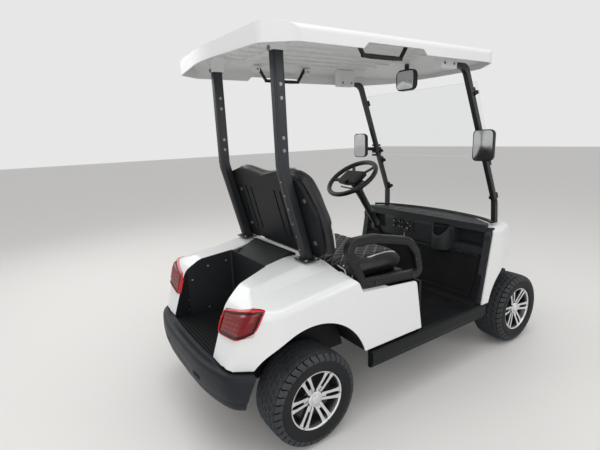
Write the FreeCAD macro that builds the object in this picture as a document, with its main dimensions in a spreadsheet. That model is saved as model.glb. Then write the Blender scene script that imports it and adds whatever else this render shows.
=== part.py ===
import FreeCAD, Part
import math
import os
import Sketcher
from FreeCAD import Placement, Rotation, Vector

# Two-seat golf cart in millimetres: +Z up, the cart's front at -Y, its right side at -X, standing on Z 0.

SIZES = (
    # name, millimetres or count, what it is
    ("wheelbase", 1670, "axle to axle"),
    ("front_overhang", 325, "front axle to front bumper face"),
    ("rear_overhang", 445, "rear axle to rear bumper face"),
    ("body_width", 1150, "over the painted side panels"),
    ("panel_wall", 7, "painted shell thickness"),
    ("sill_top", 377, "lower edge of the side panels"),
    ("skirt_low", 450, "lower edge of the shell over the rear bumper"),
    ("panel_top", 660, "side panel edge under the armrest"),
    ("deck_top", 818, "rear deck at the struts"),
    ("shoulder_round", 42, "rounding of the deck's long edges"),
    ("arch_radius", 322, "wheel arch radius"),
    ("arch_lift", 49, "wheel arch centre above the axle"),
    ("lens_proud", 2.5, "tail lens stands out of the shell"),
    ("lens_deep", 5, "tail lens reaches into the shell"),
    ("liner_wall", 4, "thickness of the arch liners and the bag well"),
    ("tyre_radius", 233, "tyre outside radius"),
    ("tyre_width", 205, "tyre section width"),
    ("rim_radius", 142, "rim flange radius"),
    ("rim_width", 178, "rim width over the flanges"),
    ("rear_track", 984, "between the rear tyre middles"),
    ("front_track", 1010, "between the front tyre middles"),
    ("spoke_count", 6, "twin-bar spokes of a wheel"),
    ("hub_radius", 42, "wheel hub radius"),
    ("stub_radius", 15, "stub axle radius"),
    ("running_gap", 0.05, "radial gap of a running fit"),
    ("pin_radius", 10, "kingpin radius"),
    ("pin_inset", 125, "kingpin in from the front tyre's middle"),
    ("rail_track", 400, "between the frame rails' middles"),
    ("rail_wide", 50, "frame rail width"),
    ("rail_low", 289.7, "underside of the frame rails"),
    ("rail_high", 50, "frame rail height"),
    ("floor_top", 352, "floor height"),
    ("floor_thick", 12, "floor panel thickness"),
    ("seat_top", 795, "top of the seat cushion"),
    ("seat_thick", 110, "seat cushion thickness"),
    ("seat_inset", 105, "cushion side in from the side panel"),
    ("board_thick", 14, "seat board thickness"),
    ("seat_gap", 0.3, "gap round soft pieces"),
    ("seam", 0.6, "gap between panels that meet"),
    ("well_inset", 290, "bag well mouth in from the side panel"),
    ("well_floor", 430, "bag well floor height"),
    ("strut_inset", 245, "rear roof strut's middle in from the side panel"),
    ("strut_wide", 45, "rear strut across"),
    ("strut_deep", 55, "rear strut front to back"),
    ("roof_inset", 20, "roof edge in from the side panel"),
    ("roof_skirt", 1792, "lower edge of the roof skirt"),
    ("roof_high", 100, "roof skirt to crown"),
    ("roof_wall", 8, "roof shell thickness"),
    ("post_inset", 95, "front post's foot in from the side panel"),
    ("post_size", 30, "front post square section"),
    ("post_lean", 40, "how far each post leans inwards"),
    ("arm_bar", 44, "armrest bar thickness"),
    ("wheel_ring", 190, "steering wheel rim radius"),
    ("wheel_grip", 13, "steering wheel grip radius"),
    ("column_radius", 17, "steering column tube radius"),
    ("steering_side", 280, "steering column off the middle"),
    ("glass_thick", 5, "windscreen thickness"),
    ("screen_rise", 811, "height over which the screen leans back"),
    ("screen_run", 325, "how far back the screen leans over that height"),
    ("bumper_low", 262, "underside of the bumpers and sills"),
)


class Size(float):
    """A length that remembers the sheet formula it was worked out by."""

    def __new__(cls, number, formula):
        size = float.__new__(cls, number)
        size.formula = formula
        return size

    def __add__(self, other):
        return joined(self, "+", other, float(self) + float(other))

    def __radd__(self, other):
        return joined(other, "+", self, float(other) + float(self))

    def __sub__(self, other):
        return joined(self, "-", other, float(self) - float(other))

    def __rsub__(self, other):
        return joined(other, "-", self, float(other) - float(self))

    def __mul__(self, other):
        return joined(self, "*", other, float(self) * float(other))

    def __rmul__(self, other):
        return joined(other, "*", self, float(other) * float(self))

    def __truediv__(self, other):
        return joined(self, "/", other, float(self) / float(other))

    def __neg__(self):
        return joined(0, "-", self, -float(self))


def formula_of(value):
    return value.formula if isinstance(value, Size) else repr(float(value))


def joined(left, sign, right, number):
    return Size(number, "(" + formula_of(left) + " " + sign + " " + formula_of(right) + ")")


def bind(thing, name, value):
    """Tie one property of an object to its formula, or just set a fixed number."""
    thing.setExpression(name, formula_of(value))


doc = FreeCAD.newDocument("golf_cart")
sheet = doc.addObject("Spreadsheet::Sheet", "Sizes")
sizes = {}
for row, (name, number, meaning) in enumerate(SIZES, start=1):
    sheet.set("A%d" % row, name)
    sheet.set("B%d" % row, str(number))
    sheet.set("C%d" % row, meaning)
    sheet.setAlias("B%d" % row, name)
    sizes[name] = Size(number, "Sizes." + name)
doc.recompute()

PLANES = {"top": "XY_Plane", "front": "XZ_Plane", "side": "YZ_Plane"}
SUBPARTS = []


def subpart(thing, name):
    """Name a finished piece and keep it for export."""
    thing.Label = name
    SUBPARTS.append(thing)
    return thing


def new_body(name):
    return doc.addObject("PartDesign::Body", name)


def new_sketch(body, plane, offset=0.0):
    """A sketch on one of the body's own planes, moved along that plane's normal."""
    sketch = body.newObject("Sketcher::SketchObject", body.Name + "_sketch")
    origin = [item for item in body.Origin.OriginFeatures if item.Role == PLANES[plane]]
    sketch.AttachmentSupport = [(origin[0], "")]
    sketch.MapMode = "FlatFace"
    if float(offset):
        bind(sketch, "AttachmentOffset.Base.z", offset)
    return sketch


def pin_point(rules, dims, item, spot, across, up):
    """Fix one point of a sketch at its distances from the sketch's origin."""
    for kind, value in (("DistanceX", across), ("DistanceY", up)):
        dims.append((len(rules), value))
        rules.append(Sketcher.Constraint(kind, -1, 1, item, spot, float(value)))


def apply_rules(sketch, rules, dims):
    first = sketch.ConstraintCount
    sketch.addConstraint(rules)
    for index, value in dims:
        if isinstance(value, Size):
            bind(sketch, "Constraints[%d]" % (first + index), value)


def draw_loop(sketch, corners):
    """Closed outline through corners of (across, up, optional rounding radius), fully constrained."""
    rows = [tuple(corner) + (0,) * (3 - len(corner)) for corner in corners]
    spots = [Vector(float(row[0]), float(row[1]), 0) for row in rows]
    count = len(rows)
    base = sketch.GeometryCount
    starts = []
    ends = []
    arcs = []
    for index in range(count):
        here = spots[index]
        before = spots[index - 1] - here
        after = spots[(index + 1) % count] - here
        before.normalize()
        after.normalize()
        radius = float(rows[index][2])
        if radius:
            half = before.getAngle(after) / 2
            reach = radius / math.tan(half)
            middle = before + after
            middle.normalize()
            centre = here + middle * (radius / math.sin(half))
            inward = here + before * reach
            outward = here + after * reach
            left = (before * -1).cross(after).z > 0
            first, last = (inward, outward) if left else (outward, inward)
            angle_a = math.atan2(first.y - centre.y, first.x - centre.x)
            angle_b = math.atan2(last.y - centre.y, last.x - centre.x)
            if angle_b < angle_a:
                angle_b += 2 * math.pi
            arcs.append((centre, radius, angle_a, angle_b, left))
            ends.append(inward)
            starts.append(outward)
        else:
            arcs.append(None)
            ends.append(here)
            starts.append(here)
    items = [Part.LineSegment(starts[i], ends[(i + 1) % count]) for i in range(count)]
    places = {}
    for index, arc in enumerate(arcs):
        if arc:
            places[index] = (base + len(items), base + len(items) + 1)
            circle = Part.Circle(arc[0], Vector(0, 0, 1), arc[1])
            items.append(Part.ArcOfCircle(circle, arc[2], arc[3]))
            items.append(Part.Point(spots[index]))
    sketch.addGeometry(items, False)
    rules = []
    dims = []
    for index in range(count):
        line_in = base + (index - 1) % count
        line_out = base + index
        across, up, rounding = rows[index]
        if index in places:
            arc, point = places[index]
            near, far = (1, 2) if arcs[index][4] else (2, 1)
            sketch.setConstruction(point, True)
            rules.append(Sketcher.Constraint("PointOnObject", point, 1, line_in))
            rules.append(Sketcher.Constraint("PointOnObject", point, 1, line_out))
            rules.append(Sketcher.Constraint("Tangent", line_in, 2, arc, near))
            rules.append(Sketcher.Constraint("Tangent", arc, far, line_out, 1))
            dims.append((len(rules), rounding))
            rules.append(Sketcher.Constraint("Radius", arc, float(rounding)))
            pin_point(rules, dims, point, 1, across, up)
        else:
            rules.append(Sketcher.Constraint("Coincident", line_in, 2, line_out, 1))
            pin_point(rules, dims, line_out, 1, across, up)
    apply_rules(sketch, rules, dims)


def draw_circle(sketch, across, up, radius):
    item = sketch.GeometryCount
    circle = Part.Circle(Vector(float(across), float(up), 0), Vector(0, 0, 1), float(radius))
    sketch.addGeometry(circle, False)
    rules = []
    dims = [(0, radius)]
    rules.append(Sketcher.Constraint("Radius", item, float(radius)))
    pin_point(rules, dims, item, 3, across, up)
    apply_rules(sketch, rules, dims)


def draw(sketch, shapes):
    """Each shape is a list of corners, or one (across, up, radius) row for a circle."""
    for shape in shapes:
        if isinstance(shape[0], (tuple, list)):
            draw_loop(sketch, shape)
        else:
            draw_circle(sketch, *shape)


def pad(body, plane, shapes, length, offset=0.0, both=False, back=False):
    sketch = new_sketch(body, plane, offset)
    draw(sketch, shapes)
    feature = body.newObject("PartDesign::Pad", body.Name + "_pad")
    feature.Profile = sketch
    bind(feature, "Length", length)
    feature.SideType = "Symmetric" if both else "One side"
    feature.Reversed = back
    return feature


def pocket(body, plane, shapes, length, offset=0.0, both=True, back=False):
    sketch = new_sketch(body, plane, offset)
    draw(sketch, shapes)
    feature = body.newObject("PartDesign::Pocket", body.Name + "_pocket")
    feature.Profile = sketch
    bind(feature, "Length", length)
    feature.SideType = "Symmetric" if both else "One side"
    feature.Reversed = back
    return feature


def revolve(body, plane, shapes, axis):
    sketch = new_sketch(body, plane)
    draw(sketch, shapes)
    feature = body.newObject("PartDesign::Revolution", body.Name + "_turned")
    feature.Profile = sketch
    feature.ReferenceAxis = (sketch, [axis])
    feature.Angle = 360
    return feature


def fillet(body, radius, chosen, kind="Fillet", value="Radius"):
    """Round the edges of the body so far that the test picks."""
    doc.recompute()
    tip = body.Tip
    names = []
    for number, edge in enumerate(tip.Shape.Edges, start=1):
        middle = edge.valueAt((edge.FirstParameter + edge.LastParameter) / 2)
        if chosen(middle, edge):
            names.append("Edge%d" % number)
    feature = body.newObject("PartDesign::" + kind, body.Name + "_round")
    feature.Base = (tip, names)
    bind(feature, value, radius)
    return feature


def chamfer(body, width, chosen):
    """Break the edges of the body so far that the test picks."""
    fillet(body, width, chosen, "Chamfer", "Size")


def place(thing, across=0.0, along=0.0, up=0.0):
    """Move a whole piece to its place."""
    for name, value in (("x", across), ("y", along), ("z", up)):
        if isinstance(value, Size) or float(value):
            bind(thing, "Placement.Base." + name, value)


def box(name, low, size):
    """A block from its low corner and its three sizes."""
    block = doc.addObject("Part::Box", name)
    for prop, value in zip(("Length", "Width", "Height"), size):
        bind(block, prop, value)
    place(block, *low)
    return block


def rod(name, start, axis, radius, length):
    """A round bar from its start along X, Y or Z."""
    bar = doc.addObject("Part::Cylinder", name)
    bind(bar, "Radius", radius)
    bind(bar, "Height", length)
    turns = {"x": Rotation(Vector(0, 1, 0), 90), "y": Rotation(Vector(1, 0, 0), -90), "z": Rotation()}
    bar.Placement = Placement(Vector(*[float(value) for value in start]), turns[axis])
    place(bar, *start)
    return bar


def fuse(name, pieces):
    joint = doc.addObject("Part::MultiFuse", name)
    joint.Shapes = pieces
    joint.Refine = True
    return subpart(joint, name)


def group(name, pieces):
    """Separate like solids that share one node."""
    bundle = doc.addObject("Part::Compound", name)
    bundle.Links = pieces
    return subpart(bundle, name)


def cut(name, base, tool):
    result = doc.addObject("Part::Cut", name)
    result.Base = base
    result.Tool = tool
    return result


# Shared places, worked out from the driving sizes

length = sizes["wheelbase"] + sizes["front_overhang"] + sizes["rear_overhang"]
rear_end = length / 2
front_end = -rear_end
rear_axle = rear_end - sizes["rear_overhang"]
front_axle = rear_axle - sizes["wheelbase"]
axle_height = sizes["tyre_radius"]
arch_height = axle_height + sizes["arch_lift"]
body_half = sizes["body_width"] / 2
seat_half = body_half - sizes["seat_inset"]
well_half = body_half - sizes["well_inset"]
strut_half = body_half - sizes["strut_inset"]
post_half = body_half - sizes["post_inset"]
roof_half = body_half - sizes["roof_inset"]
bumper_low = sizes["bumper_low"]
wall = sizes["panel_wall"]
sill_top = sizes["sill_top"]
skirt_low = sizes["skirt_low"]
deck_top = sizes["deck_top"]
panel_top = sizes["panel_top"]
floor_top = sizes["floor_top"]
seam = sizes["seam"]
rail_low = sizes["rail_low"]
rail_top = sizes["rail_low"] + sizes["rail_high"]
rail_mid = sizes["rail_track"] / 2
rail_half = sizes["rail_wide"] / 2
seat_front = rear_axle - 722
cowl_rear = front_axle + 385
spare = 400  # how far a cutting form runs on past what it cuts
far = 2000  # well beyond the cart in any direction


def outside(loop, low, high):
    """A loop with a wide frame round it, to cut away all that lies beyond the loop."""
    frame = [(low[0], low[1]), (high[0], low[1]), (high[0], high[1]), (low[0], high[1])]
    return [frame, loop]


# Wheels

def tyre_body(name, across, along):
    body = new_body(name)
    outer = sizes["tyre_radius"]
    half = sizes["tyre_width"] / 2
    flange = sizes["rim_radius"]
    rim_half = sizes["rim_width"] / 2
    bead = flange - 14
    revolve(body, "side", [[
        (bead, -rim_half + 8),
        (flange + 2, -rim_half + 8),
        (flange + 16, -half + 3),
        (outer - 40, -half),
        (outer - 12, -half + 11),
        (outer, -half + 38),
        (outer, half - 38),
        (outer - 12, half - 11),
        (outer - 40, half),
        (flange + 16, half - 3),
        (flange + 2, rim_half - 8),
        (bead, rim_half - 8),
    ]], "V_Axis")
    return subpart(turn_wheel(body, across, along), name)


def turn_wheel(body, across, along):
    """Lay a wheel piece, made about its own Z axis, on the cart's X axis, outer face outwards."""
    side = 90 if float(across) > 0 else -90
    body.Placement = Placement(Vector(float(across), float(along), float(axle_height)), Rotation(Vector(0, 1, 0), side))
    place(body, across, along, axle_height)
    return body


def rim_body(name, across, along):
    body = new_body(name)
    flange = sizes["rim_radius"]
    rim_half = sizes["rim_width"] / 2
    bead = flange - 14 - seam / 10
    barrel = bead - 8
    hub = sizes["hub_radius"]
    revolve(body, "side", [[
        (barrel, -rim_half),
        (flange, -rim_half),
        (flange, -rim_half + 7.5),
        (bead, -rim_half + 7.5),
        (bead, rim_half - 7.5),
        (flange, rim_half - 7.5),
        (flange, rim_half),
        (flange - 8, rim_half),
        (barrel, rim_half - 6),
    ]], "V_Axis")
    face = rim_half - 12
    pad(body, "top", [(0, 0, hub), (0, 0, sizes["stub_radius"] + sizes["running_gap"])], 74, offset=face - 74)
    twin = pad(body, "top", [[
        (hub - 8, -24),
        (barrel + 2, -19),
        (barrel + 2, 19),
        (hub - 8, 24),
    ], [
        (hub + 10, -7),
        (barrel - 12, -7),
        (barrel - 12, 7),
        (hub + 10, 7),
    ]], 22, offset=face - 26)
    doc.recompute()
    pattern = body.newObject("PartDesign::PolarPattern", name + "_spokes")
    pattern.Originals = [twin]
    pattern.Axis = (twin.Profile[0], ["N_Axis"])
    pattern.Angle = 360
    bind(pattern, "Occurrences", sizes["spoke_count"])
    body.Tip = pattern
    pad(body, "top", [(0, 0, hub - 8)], 16, offset=face - 0.5)
    return subpart(turn_wheel(body, across, along), name)


WHEELS = (
    # name, side, half track, axle place
    ("rear_right", -1, sizes["rear_track"] / 2, rear_axle),
    ("rear_left", 1, sizes["rear_track"] / 2, rear_axle),
    ("front_right", -1, sizes["front_track"] / 2, front_axle),
    ("front_left", 1, sizes["front_track"] / 2, front_axle),
)
for name, side, half_track, along in WHEELS:
    tyre_body("tyre_" + name, half_track * side, along)
    rim_body("rim_" + name, half_track * side, along)

# Frame, axles and springs

hub_face = sizes["rim_width"] / 2 - 12
rear_hub_out = sizes["rear_track"] / 2 + hub_face
rear_hub_in = rear_hub_out - 74
bumper_deep = sizes["rear_overhang"] - 371.3
rail_rear = rear_end - bumper_deep - sizes["seat_gap"]
rail_front = front_end + bumper_deep + sizes["seat_gap"]
rail_left = box("rail_left", (rail_mid - rail_half, rail_front, rail_low),
                (sizes["rail_wide"], rail_rear - rail_front, sizes["rail_high"]))
rail_right = box("rail_right", (-rail_mid - rail_half, rail_front, rail_low),
                 (sizes["rail_wide"], rail_rear - rail_front, sizes["rail_high"]))
CROSS = (
    # name, place along, half width
    ("cross_front", rail_front, rail_mid),
    ("cross_dash", cowl_rear - 40, body_half - 70),
    ("cross_seat", seat_front, body_half - 70),
    ("cross_motor", rear_axle - 340, rail_mid),
    ("cross_rear", rail_rear - 50, rail_mid),
)
members = [rail_left, rail_right]
spring_side = (rail_mid + rail_half + sizes["rear_track"] / 2 - sizes["tyre_width"] / 2) / 2
HANGERS = (
    # name, low corner across, place along
    ("hanger_front_right", -spring_side - 25, rear_axle - 340),
    ("hanger_front_left", rail_mid, rear_axle - 340),
    ("hanger_rear_right", -spring_side - 25, rear_axle + 300),
    ("hanger_rear_left", rail_mid, rear_axle + 300),
)
for name, across, along in HANGERS:
    members.append(box(name, (across, along, rail_low + 22 + 14.3), (spring_side + 25 - rail_mid, 40, 12)))
shock_side = rail_mid - rail_half - 27
shock_foot = axle_height - 10
shock_tall = 170
SHOCKS = (
    # axle, side, tag, place along
    ("rear", -1, "right", rear_axle + 62),
    ("rear", 1, "left", rear_axle + 62),
    ("front", -1, "right", front_axle - 48),
    ("front", 1, "left", front_axle - 48),
)
rail_inner = rail_mid - rail_half
plate_wide = rail_inner + 3 - (shock_side - 25)
plate_level = shock_foot + shock_tall
for end, side, tag, along in SHOCKS:
    plate_side = shock_side - 25 if side > 0 else -(shock_side - 25) - plate_wide
    upright_side = rail_inner * side - 3
    members.append(box("shock_plate_" + end + "_" + tag, (plate_side, along - 22, plate_level), (plate_wide, 44, 8)))
    members.append(box("shock_upright_" + end + "_" + tag, (upright_side, along - 22, rail_low),
                       (6, 44, plate_level + 8 - rail_low)))
for name, along, half in CROSS:
    members.append(box(name, (-half, along, rail_low), (half * 2, 50, sizes["rail_high"] - 10)))
fuse("frame", members)

axle_tube = 36
rear_parts = [
    rod("axle_tube", (-rear_hub_in + 12, rear_axle, axle_height), "x", axle_tube, (rear_hub_in - 12) * 2),
    rod("rear_spindle", (-rear_hub_out + 4, rear_axle, axle_height), "x", sizes["stub_radius"], (rear_hub_out - 4) * 2),
    rod("gear_case", (-110, rear_axle, axle_height), "x", 100, 90),
    box("gear_arm", (-110, rear_axle - 190, axle_height - 90), (90, 190, 140)),
    box("shock_foot_right", (-shock_side - 15, rear_axle, shock_foot - 8), (30, 84, 8)),
    box("shock_foot_left", (shock_side - 15, rear_axle, shock_foot - 8), (30, 84, 8)),
]
fuse("rear_axle", rear_parts)
motor = rod("drive_motor", (-20, rear_axle - 150, axle_height - 20), "x", 85, 170)
subpart(motor, "drive_motor")

beam_end = sizes["front_track"] / 2 - sizes["pin_inset"]
barrel_half = 35
ear = 12
ear_gap = 0.3
front_parts = [
    box("beam", (-beam_end + 34, front_axle - 22, axle_height - 22), ((beam_end - 34) * 2, 44, 44)),
    box("shock_step_right", (-shock_side - 15, front_axle - 70, shock_foot - 8), (30, 60, 8)),
    box("shock_step_left", (shock_side - 15, front_axle - 70, shock_foot - 8), (30, 60, 8)),
]
for side, tag in ((-1, "right"), (1, "left")):
    spot = beam_end * side
    front_parts.append(rod("kingpin_" + tag, (spot, front_axle, axle_height - barrel_half - ear), "z",
                           sizes["pin_radius"], (barrel_half + ear) * 2))
    low_x = spot - 24 if side > 0 else spot - 36
    for level, height in (("low", axle_height - barrel_half - ear_gap - ear), ("high", axle_height + barrel_half + ear_gap)):
        front_parts.append(box("ear_" + level + "_" + tag, (low_x, front_axle - 22, height), (60, 44, ear)))
    web_x = beam_end * side - 36 if side > 0 else beam_end * side + 24
    front_parts.append(box("web_" + tag, (web_x, front_axle - 22, axle_height - barrel_half - ear_gap - ear),
                           (12, 44, (barrel_half + ear_gap + ear) * 2)))
fuse("front_axle", front_parts)

front_hub_out = sizes["front_track"] / 2 + hub_face
front_hub_in = front_hub_out - 74
arm_reach = 95
for side, tag in ((-1, "right"), (1, "left")):
    spot = beam_end * side
    body = new_body("knuckle_" + tag)
    pad(body, "top", [(0, 0, 21), (0, 0, sizes["pin_radius"] + sizes["running_gap"])], barrel_half * 2, both=True)
    shoulder = front_hub_in - beam_end - seam
    tip = front_hub_out - beam_end - 6
    pad(body, "side", [(0, 0, 26)], shoulder - 15, offset=(Size(15, "15.0") if side > 0 else -shoulder))
    pad(body, "side", [(0, 0, sizes["stub_radius"])], tip - 15, offset=(Size(15, "15.0") if side > 0 else -tip))
    pad(body, "top", [[(-8, 16), (8, 16), (8, arm_reach + 12, 6), (-8, arm_reach + 12, 6)]], 14, offset=-7.0)
    pocket(body, "top", [(0, 0, sizes["pin_radius"] + sizes["running_gap"])], barrel_half * 4)
    place(body, spot, front_axle, axle_height)
    subpart(body, "knuckle_" + tag)

rod_level = axle_height - 7 - 0.5 - 18
tie = [
    rod("tie_bar", (-beam_end, front_axle + arm_reach, rod_level + 9), "x", 7, beam_end * 2),
    rod("tie_end_right", (-beam_end, front_axle + arm_reach, rod_level), "z", 12, 18),
    rod("tie_end_left", (beam_end, front_axle + arm_reach, rod_level), "z", 12, 18),
]
fuse("tie_rod", tie)

springs = []
SPRINGS = (
    # name, across, axle place, half length, seat height, end height
    ("spring_rear_right", -spring_side, rear_axle, 330, axle_height + axle_tube + 0.3, rail_low + 22),
    ("spring_rear_left", spring_side, rear_axle, 330, axle_height + axle_tube + 0.3, rail_low + 22),
    ("spring_front_right", -200, front_axle, 250, axle_height + 22.3, rail_low - 14.3),
    ("spring_front_left", 200, front_axle, 250, axle_height + 22.3, rail_low - 14.3),
)
for name, across, along, half, seat, end in SPRINGS:
    body = new_body(name)
    pad(body, "side", [[
        (along - half, end),
        (along - 60, seat, 400),
        (along + 60, seat, 400),
        (along + half, end),
        (along + half, end + 14),
        (along + 60, seat + 14, 400),
        (along - 60, seat + 14, 400),
        (along - half, end + 14),
    ]], 50, both=True)
    place(body, Size(across, repr(float(across))))
    springs.append(body)
group("leaf_springs", springs)

shocks = []
for end, side, tag, along in SHOCKS:
    shocks.append(rod("shock_" + end + "_" + tag, (shock_side * side, along, shock_foot + 0.3), "z", 22, shock_tall - 0.6))
group("shock_absorbers", shocks)

base_box = body_half - 145
battery = box("battery_pack", (100 - base_box, seat_front + 24, rail_top + seam / 2),
              (base_box * 2 - 200, 310, 270))
subpart(battery, "battery_pack")

# Floor, sills and seat box

floor_low = floor_top - sizes["floor_thick"]
toe_foot = cowl_rear + 38
dash_low = 640
toe_head = cowl_rear - 75
floor_pan = new_body("floor_pan")
pad(floor_pan, "side", [[
    (seat_front, floor_low),
    (seat_front, floor_top),
    (toe_foot, floor_top, 30),
    (toe_head + 12, dash_low - 0.3),
    (toe_head, dash_low - 0.3),
    (toe_foot - 9, floor_low, 30),
]], sizes["body_width"] - 58.6, both=True)

sill_rear = rear_axle - math.sqrt(350.0 ** 2 - 25.0 ** 2) - 2
sill_front = cowl_rear - 30
sills = []
for side, tag in ((-1, "right"), (1, "left")):
    body = new_body("sill_" + tag)
    pad(body, "front", [[
        ((body_half - 29) * side, floor_top + 3, 3),
        ((body_half - 29) * side, bumper_low, 3),
        ((body_half - 5) * side, bumper_low, 10),
        ((body_half + 10) * side, 300, 20),
        ((body_half + 10) * side, floor_top - 6, 6),
        ((body_half - 4) * side, floor_top + 3, 3),
    ]], sill_rear - sill_front, offset=-sill_rear)
    sills.append(body)
group("rockers", sills)

seat_low = sizes["seat_top"] - sizes["seat_thick"]
board_low = seat_low - sizes["seat_gap"] - sizes["board_thick"]
seat_base = new_body("seat_base")
base_half = body_half - wall - seam
base_loop = [
    (-base_box, seat_front + 2),
    (base_box, seat_front + 2),
    (base_box, rear_axle - 370),
    (-base_box, rear_axle - 370),
]
base_room = [
    (10 - base_box, seat_front + 18),
    (base_box - 10, seat_front + 18),
    (base_box - 10, rear_axle - 380),
    (10 - base_box, rear_axle - 380),
]
base_low = floor_top + 3.3
pad(seat_base, "top", [base_loop, base_room], board_low - 0.3 - base_low, offset=base_low)
pad(seat_base, "top", [[
    (-base_half, seat_front + 2),
    (base_half, seat_front + 2),
    (base_half, seat_front + 18),
    (-base_half, seat_front + 18),
]], panel_top - 12 - base_low, offset=base_low)
hinge_along = seat_front + 15
hinge_radius = 6
pocket(seat_base, "side", [(hinge_along, board_low, hinge_radius + seam / 2)], 602)
subpart(seat_base, "seat_base")

# Rear body shell


def rear_side(inset):
    """Side outline of the rear body, moved in by the inset and left open below and in front."""
    open_front = -spare if inset else 0
    open_low = -spare if inset else 0
    step = inset
    return [
        (seat_front + open_front, sill_top + open_low),
        (rear_axle + 150, sill_top + open_low),
        (rear_axle + 150, skirt_low + open_low),
        (rear_axle + 371 - step, skirt_low + open_low),
        (rear_axle + 371 - step, skirt_low),
        (rear_axle + 291 - step, skirt_low + 247 - step * 0.4, 110),
        (rear_axle + 205 - step * 0.4, deck_top - 58 - step, 90),
        (rear_axle - 95, deck_top + 2 - step, 150),
        (rear_axle - 235 + step * 0.5, deck_top - step, 60),
        (rear_axle - 295 + step * 0.5, panel_top + 30 - step),
        (seat_front + 47 + open_front, panel_top - step, 25 if not inset else 0),
    ]


def rear_plan(inset):
    half = body_half - inset
    return [
        (-half, seat_front - spare),
        (half, seat_front - spare),
        (half, rear_axle + 175, 150),
        (half - 132, rear_axle + 371 - inset, 45),
        (132 - half, rear_axle + 371 - inset, 45),
        (-half, rear_axle + 175, 150),
    ]


def rear_shoulder(middle, edge):
    """Top edges along the sides and round the rear corners, behind the step."""
    outward = abs(middle.x) > float(body_half) - 140
    behind = middle.y > float(rear_axle) - 260
    steep = abs(edge.tangentAt(edge.FirstParameter).z) > 0.95
    return outward and behind and middle.z > float(skirt_low) + 60 and not steep


deck_roll = 15.0  # degrees that the deck falls to each side, outward of the struts
deck_pitch = 7.0  # degrees that it falls to the rear


def deck_wedge(name, side, inset):
    """What lies above the sloping flank of the deck, to be taken away."""
    body = new_body(name)
    reach = spare * side
    corners = [(0, 0), (reach, 0), (reach, 200), (0, 200)]
    pad(body, "front", [corners], far, both=True)
    across = Rotation(Vector(0, 1, 0), deck_roll * side)
    body.Placement = Placement(Vector(), Rotation(Vector(1, 0, 0), -deck_pitch).multiply(across))
    place(body, (strut_half + sizes["strut_wide"] / 2) * side, rear_axle - 235, deck_top - inset)
    return body


def rear_form(name, inset):
    body = new_body(name)
    rows = rear_side(inset)
    if not inset:
        del rows[3]
    pad(body, "side", [rows], (body_half - inset) * 2, both=True)
    pocket(body, "top", outside(rear_plan(inset), (-far, -far), (far, far)), far * 2)
    for side, tag in ((-1, "right"), (1, "left")):
        slope = body.newObject("PartDesign::Boolean", name + "_slope_" + tag)
        slope.setObjects([deck_wedge(name + "_wedge_" + tag, side, inset)])
        slope.Type = "Cut"
    fillet(body, sizes["shoulder_round"] - inset, rear_shoulder)
    return body


outer_form = rear_form("rear_body_outer", 0)
inner_form = rear_form("rear_body_inner", wall)
arches = new_body("rear_arches")
pad(arches, "side", [(rear_axle, arch_height, sizes["arch_radius"])], far, both=True)
lens = cut("tail_lens", rear_form("lens_outer", -sizes["lens_proud"]), rear_form("lens_inner", sizes["lens_deep"]))
lamp_from = well_half + 12
lamps = []
for side, tag in ((-1, "right"), (1, "left")):
    flank = new_body("tail_lamp_flank_" + tag)
    pad(flank, "side", [[
        (rear_axle + 228, deck_top - 48, 12),
        (rear_axle + 262, deck_top - 178, 30),
        (rear_axle + 284, skirt_low + 60),
        (rear_axle + 425, skirt_low + 60),
        (rear_axle + 425, deck_top - 48),
    ]], far, both=True)
    face = new_body("tail_lamp_face_" + tag)
    pad(face, "front", [[
        (side * lamp_from, skirt_low + 112, 14),
        (side * (body_half - 140), skirt_low + 132, 80),
        (side * (body_half - 40), skirt_low + 168, 40),
        (side * (body_half + 30), skirt_low + 212),
        (side * (body_half + 30), deck_top - 60),
        (side * (body_half - 56), deck_top - 80, 40),
        (side * (body_half - 145), deck_top - 112, 80),
        (side * lamp_from, deck_top - 140, 14),
    ]], far * 2, both=True)
    lamp = doc.addObject("Part::MultiCommon", "tail_lamp_" + tag)
    lamp.Shapes = [lens, flank, face]
    lamps.append(lamp)
group("tail_lamps", lamps)


def well_plan(grow):
    half = well_half + grow
    return [
        (-half, rear_end + 200),
        (-half, rear_axle + 279),
        (79 - half, rear_axle + 26 - grow, 12),
        (half - 79, rear_axle + 26 - grow, 12),
        (half, rear_axle + 279),
        (half, rear_end + 200),
    ]


well_cut = new_body("well_cut")
pad(well_cut, "top", [well_plan(0)], 800, offset=sizes["well_floor"] - sizes["liner_wall"])
cover_half = well_half - 85
strut_foot_y = rear_axle - 148
strut_rise_back = 126
strut_bend = 1292
cover_cut = box("cover_cut", (-cover_half, rear_axle - 160, sizes["deck_top"] - 100), (cover_half * 2, 200, 200))
seat_cut = box("seat_cut", (-seat_half - 6, seat_front - spare, panel_top - 200), (seat_half * 2 + 12, rear_axle - 225 - seat_front + spare, 600))
hollow = doc.addObject("Part::MultiFuse", "rear_body_openings")
hollow.Shapes = [inner_form, arches, well_cut, cover_cut, seat_cut] + lamps
rear_body = cut("rear_body_shell", outer_form, hollow)
subpart(rear_body, "rear_body")

# Bag well liner and the cover ahead of it

liner = new_body("bagwell_liner")
liner_wall = sizes["liner_wall"]
pad(liner, "top", [well_plan(-0.3)], 600, offset=sizes["well_floor"] - liner_wall)
pocket(liner, "side", outside([
    (rear_axle - 400, 200),
    (rear_axle + 371, 200),
    (rear_axle + 371, skirt_low, 20),
    (rear_axle + 291, skirt_low + 247, 110),
    (rear_axle + 205, deck_top - 58, 90),
    (rear_axle - 95, deck_top + 2),
    (rear_axle - 400, deck_top + 2),
], (-far, -far), (far, far)), far)
pocket(liner, "top", [well_plan(-0.3 - liner_wall)], 700, offset=sizes["well_floor"], both=False, back=True)
subpart(liner, "bagwell_liner")

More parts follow.
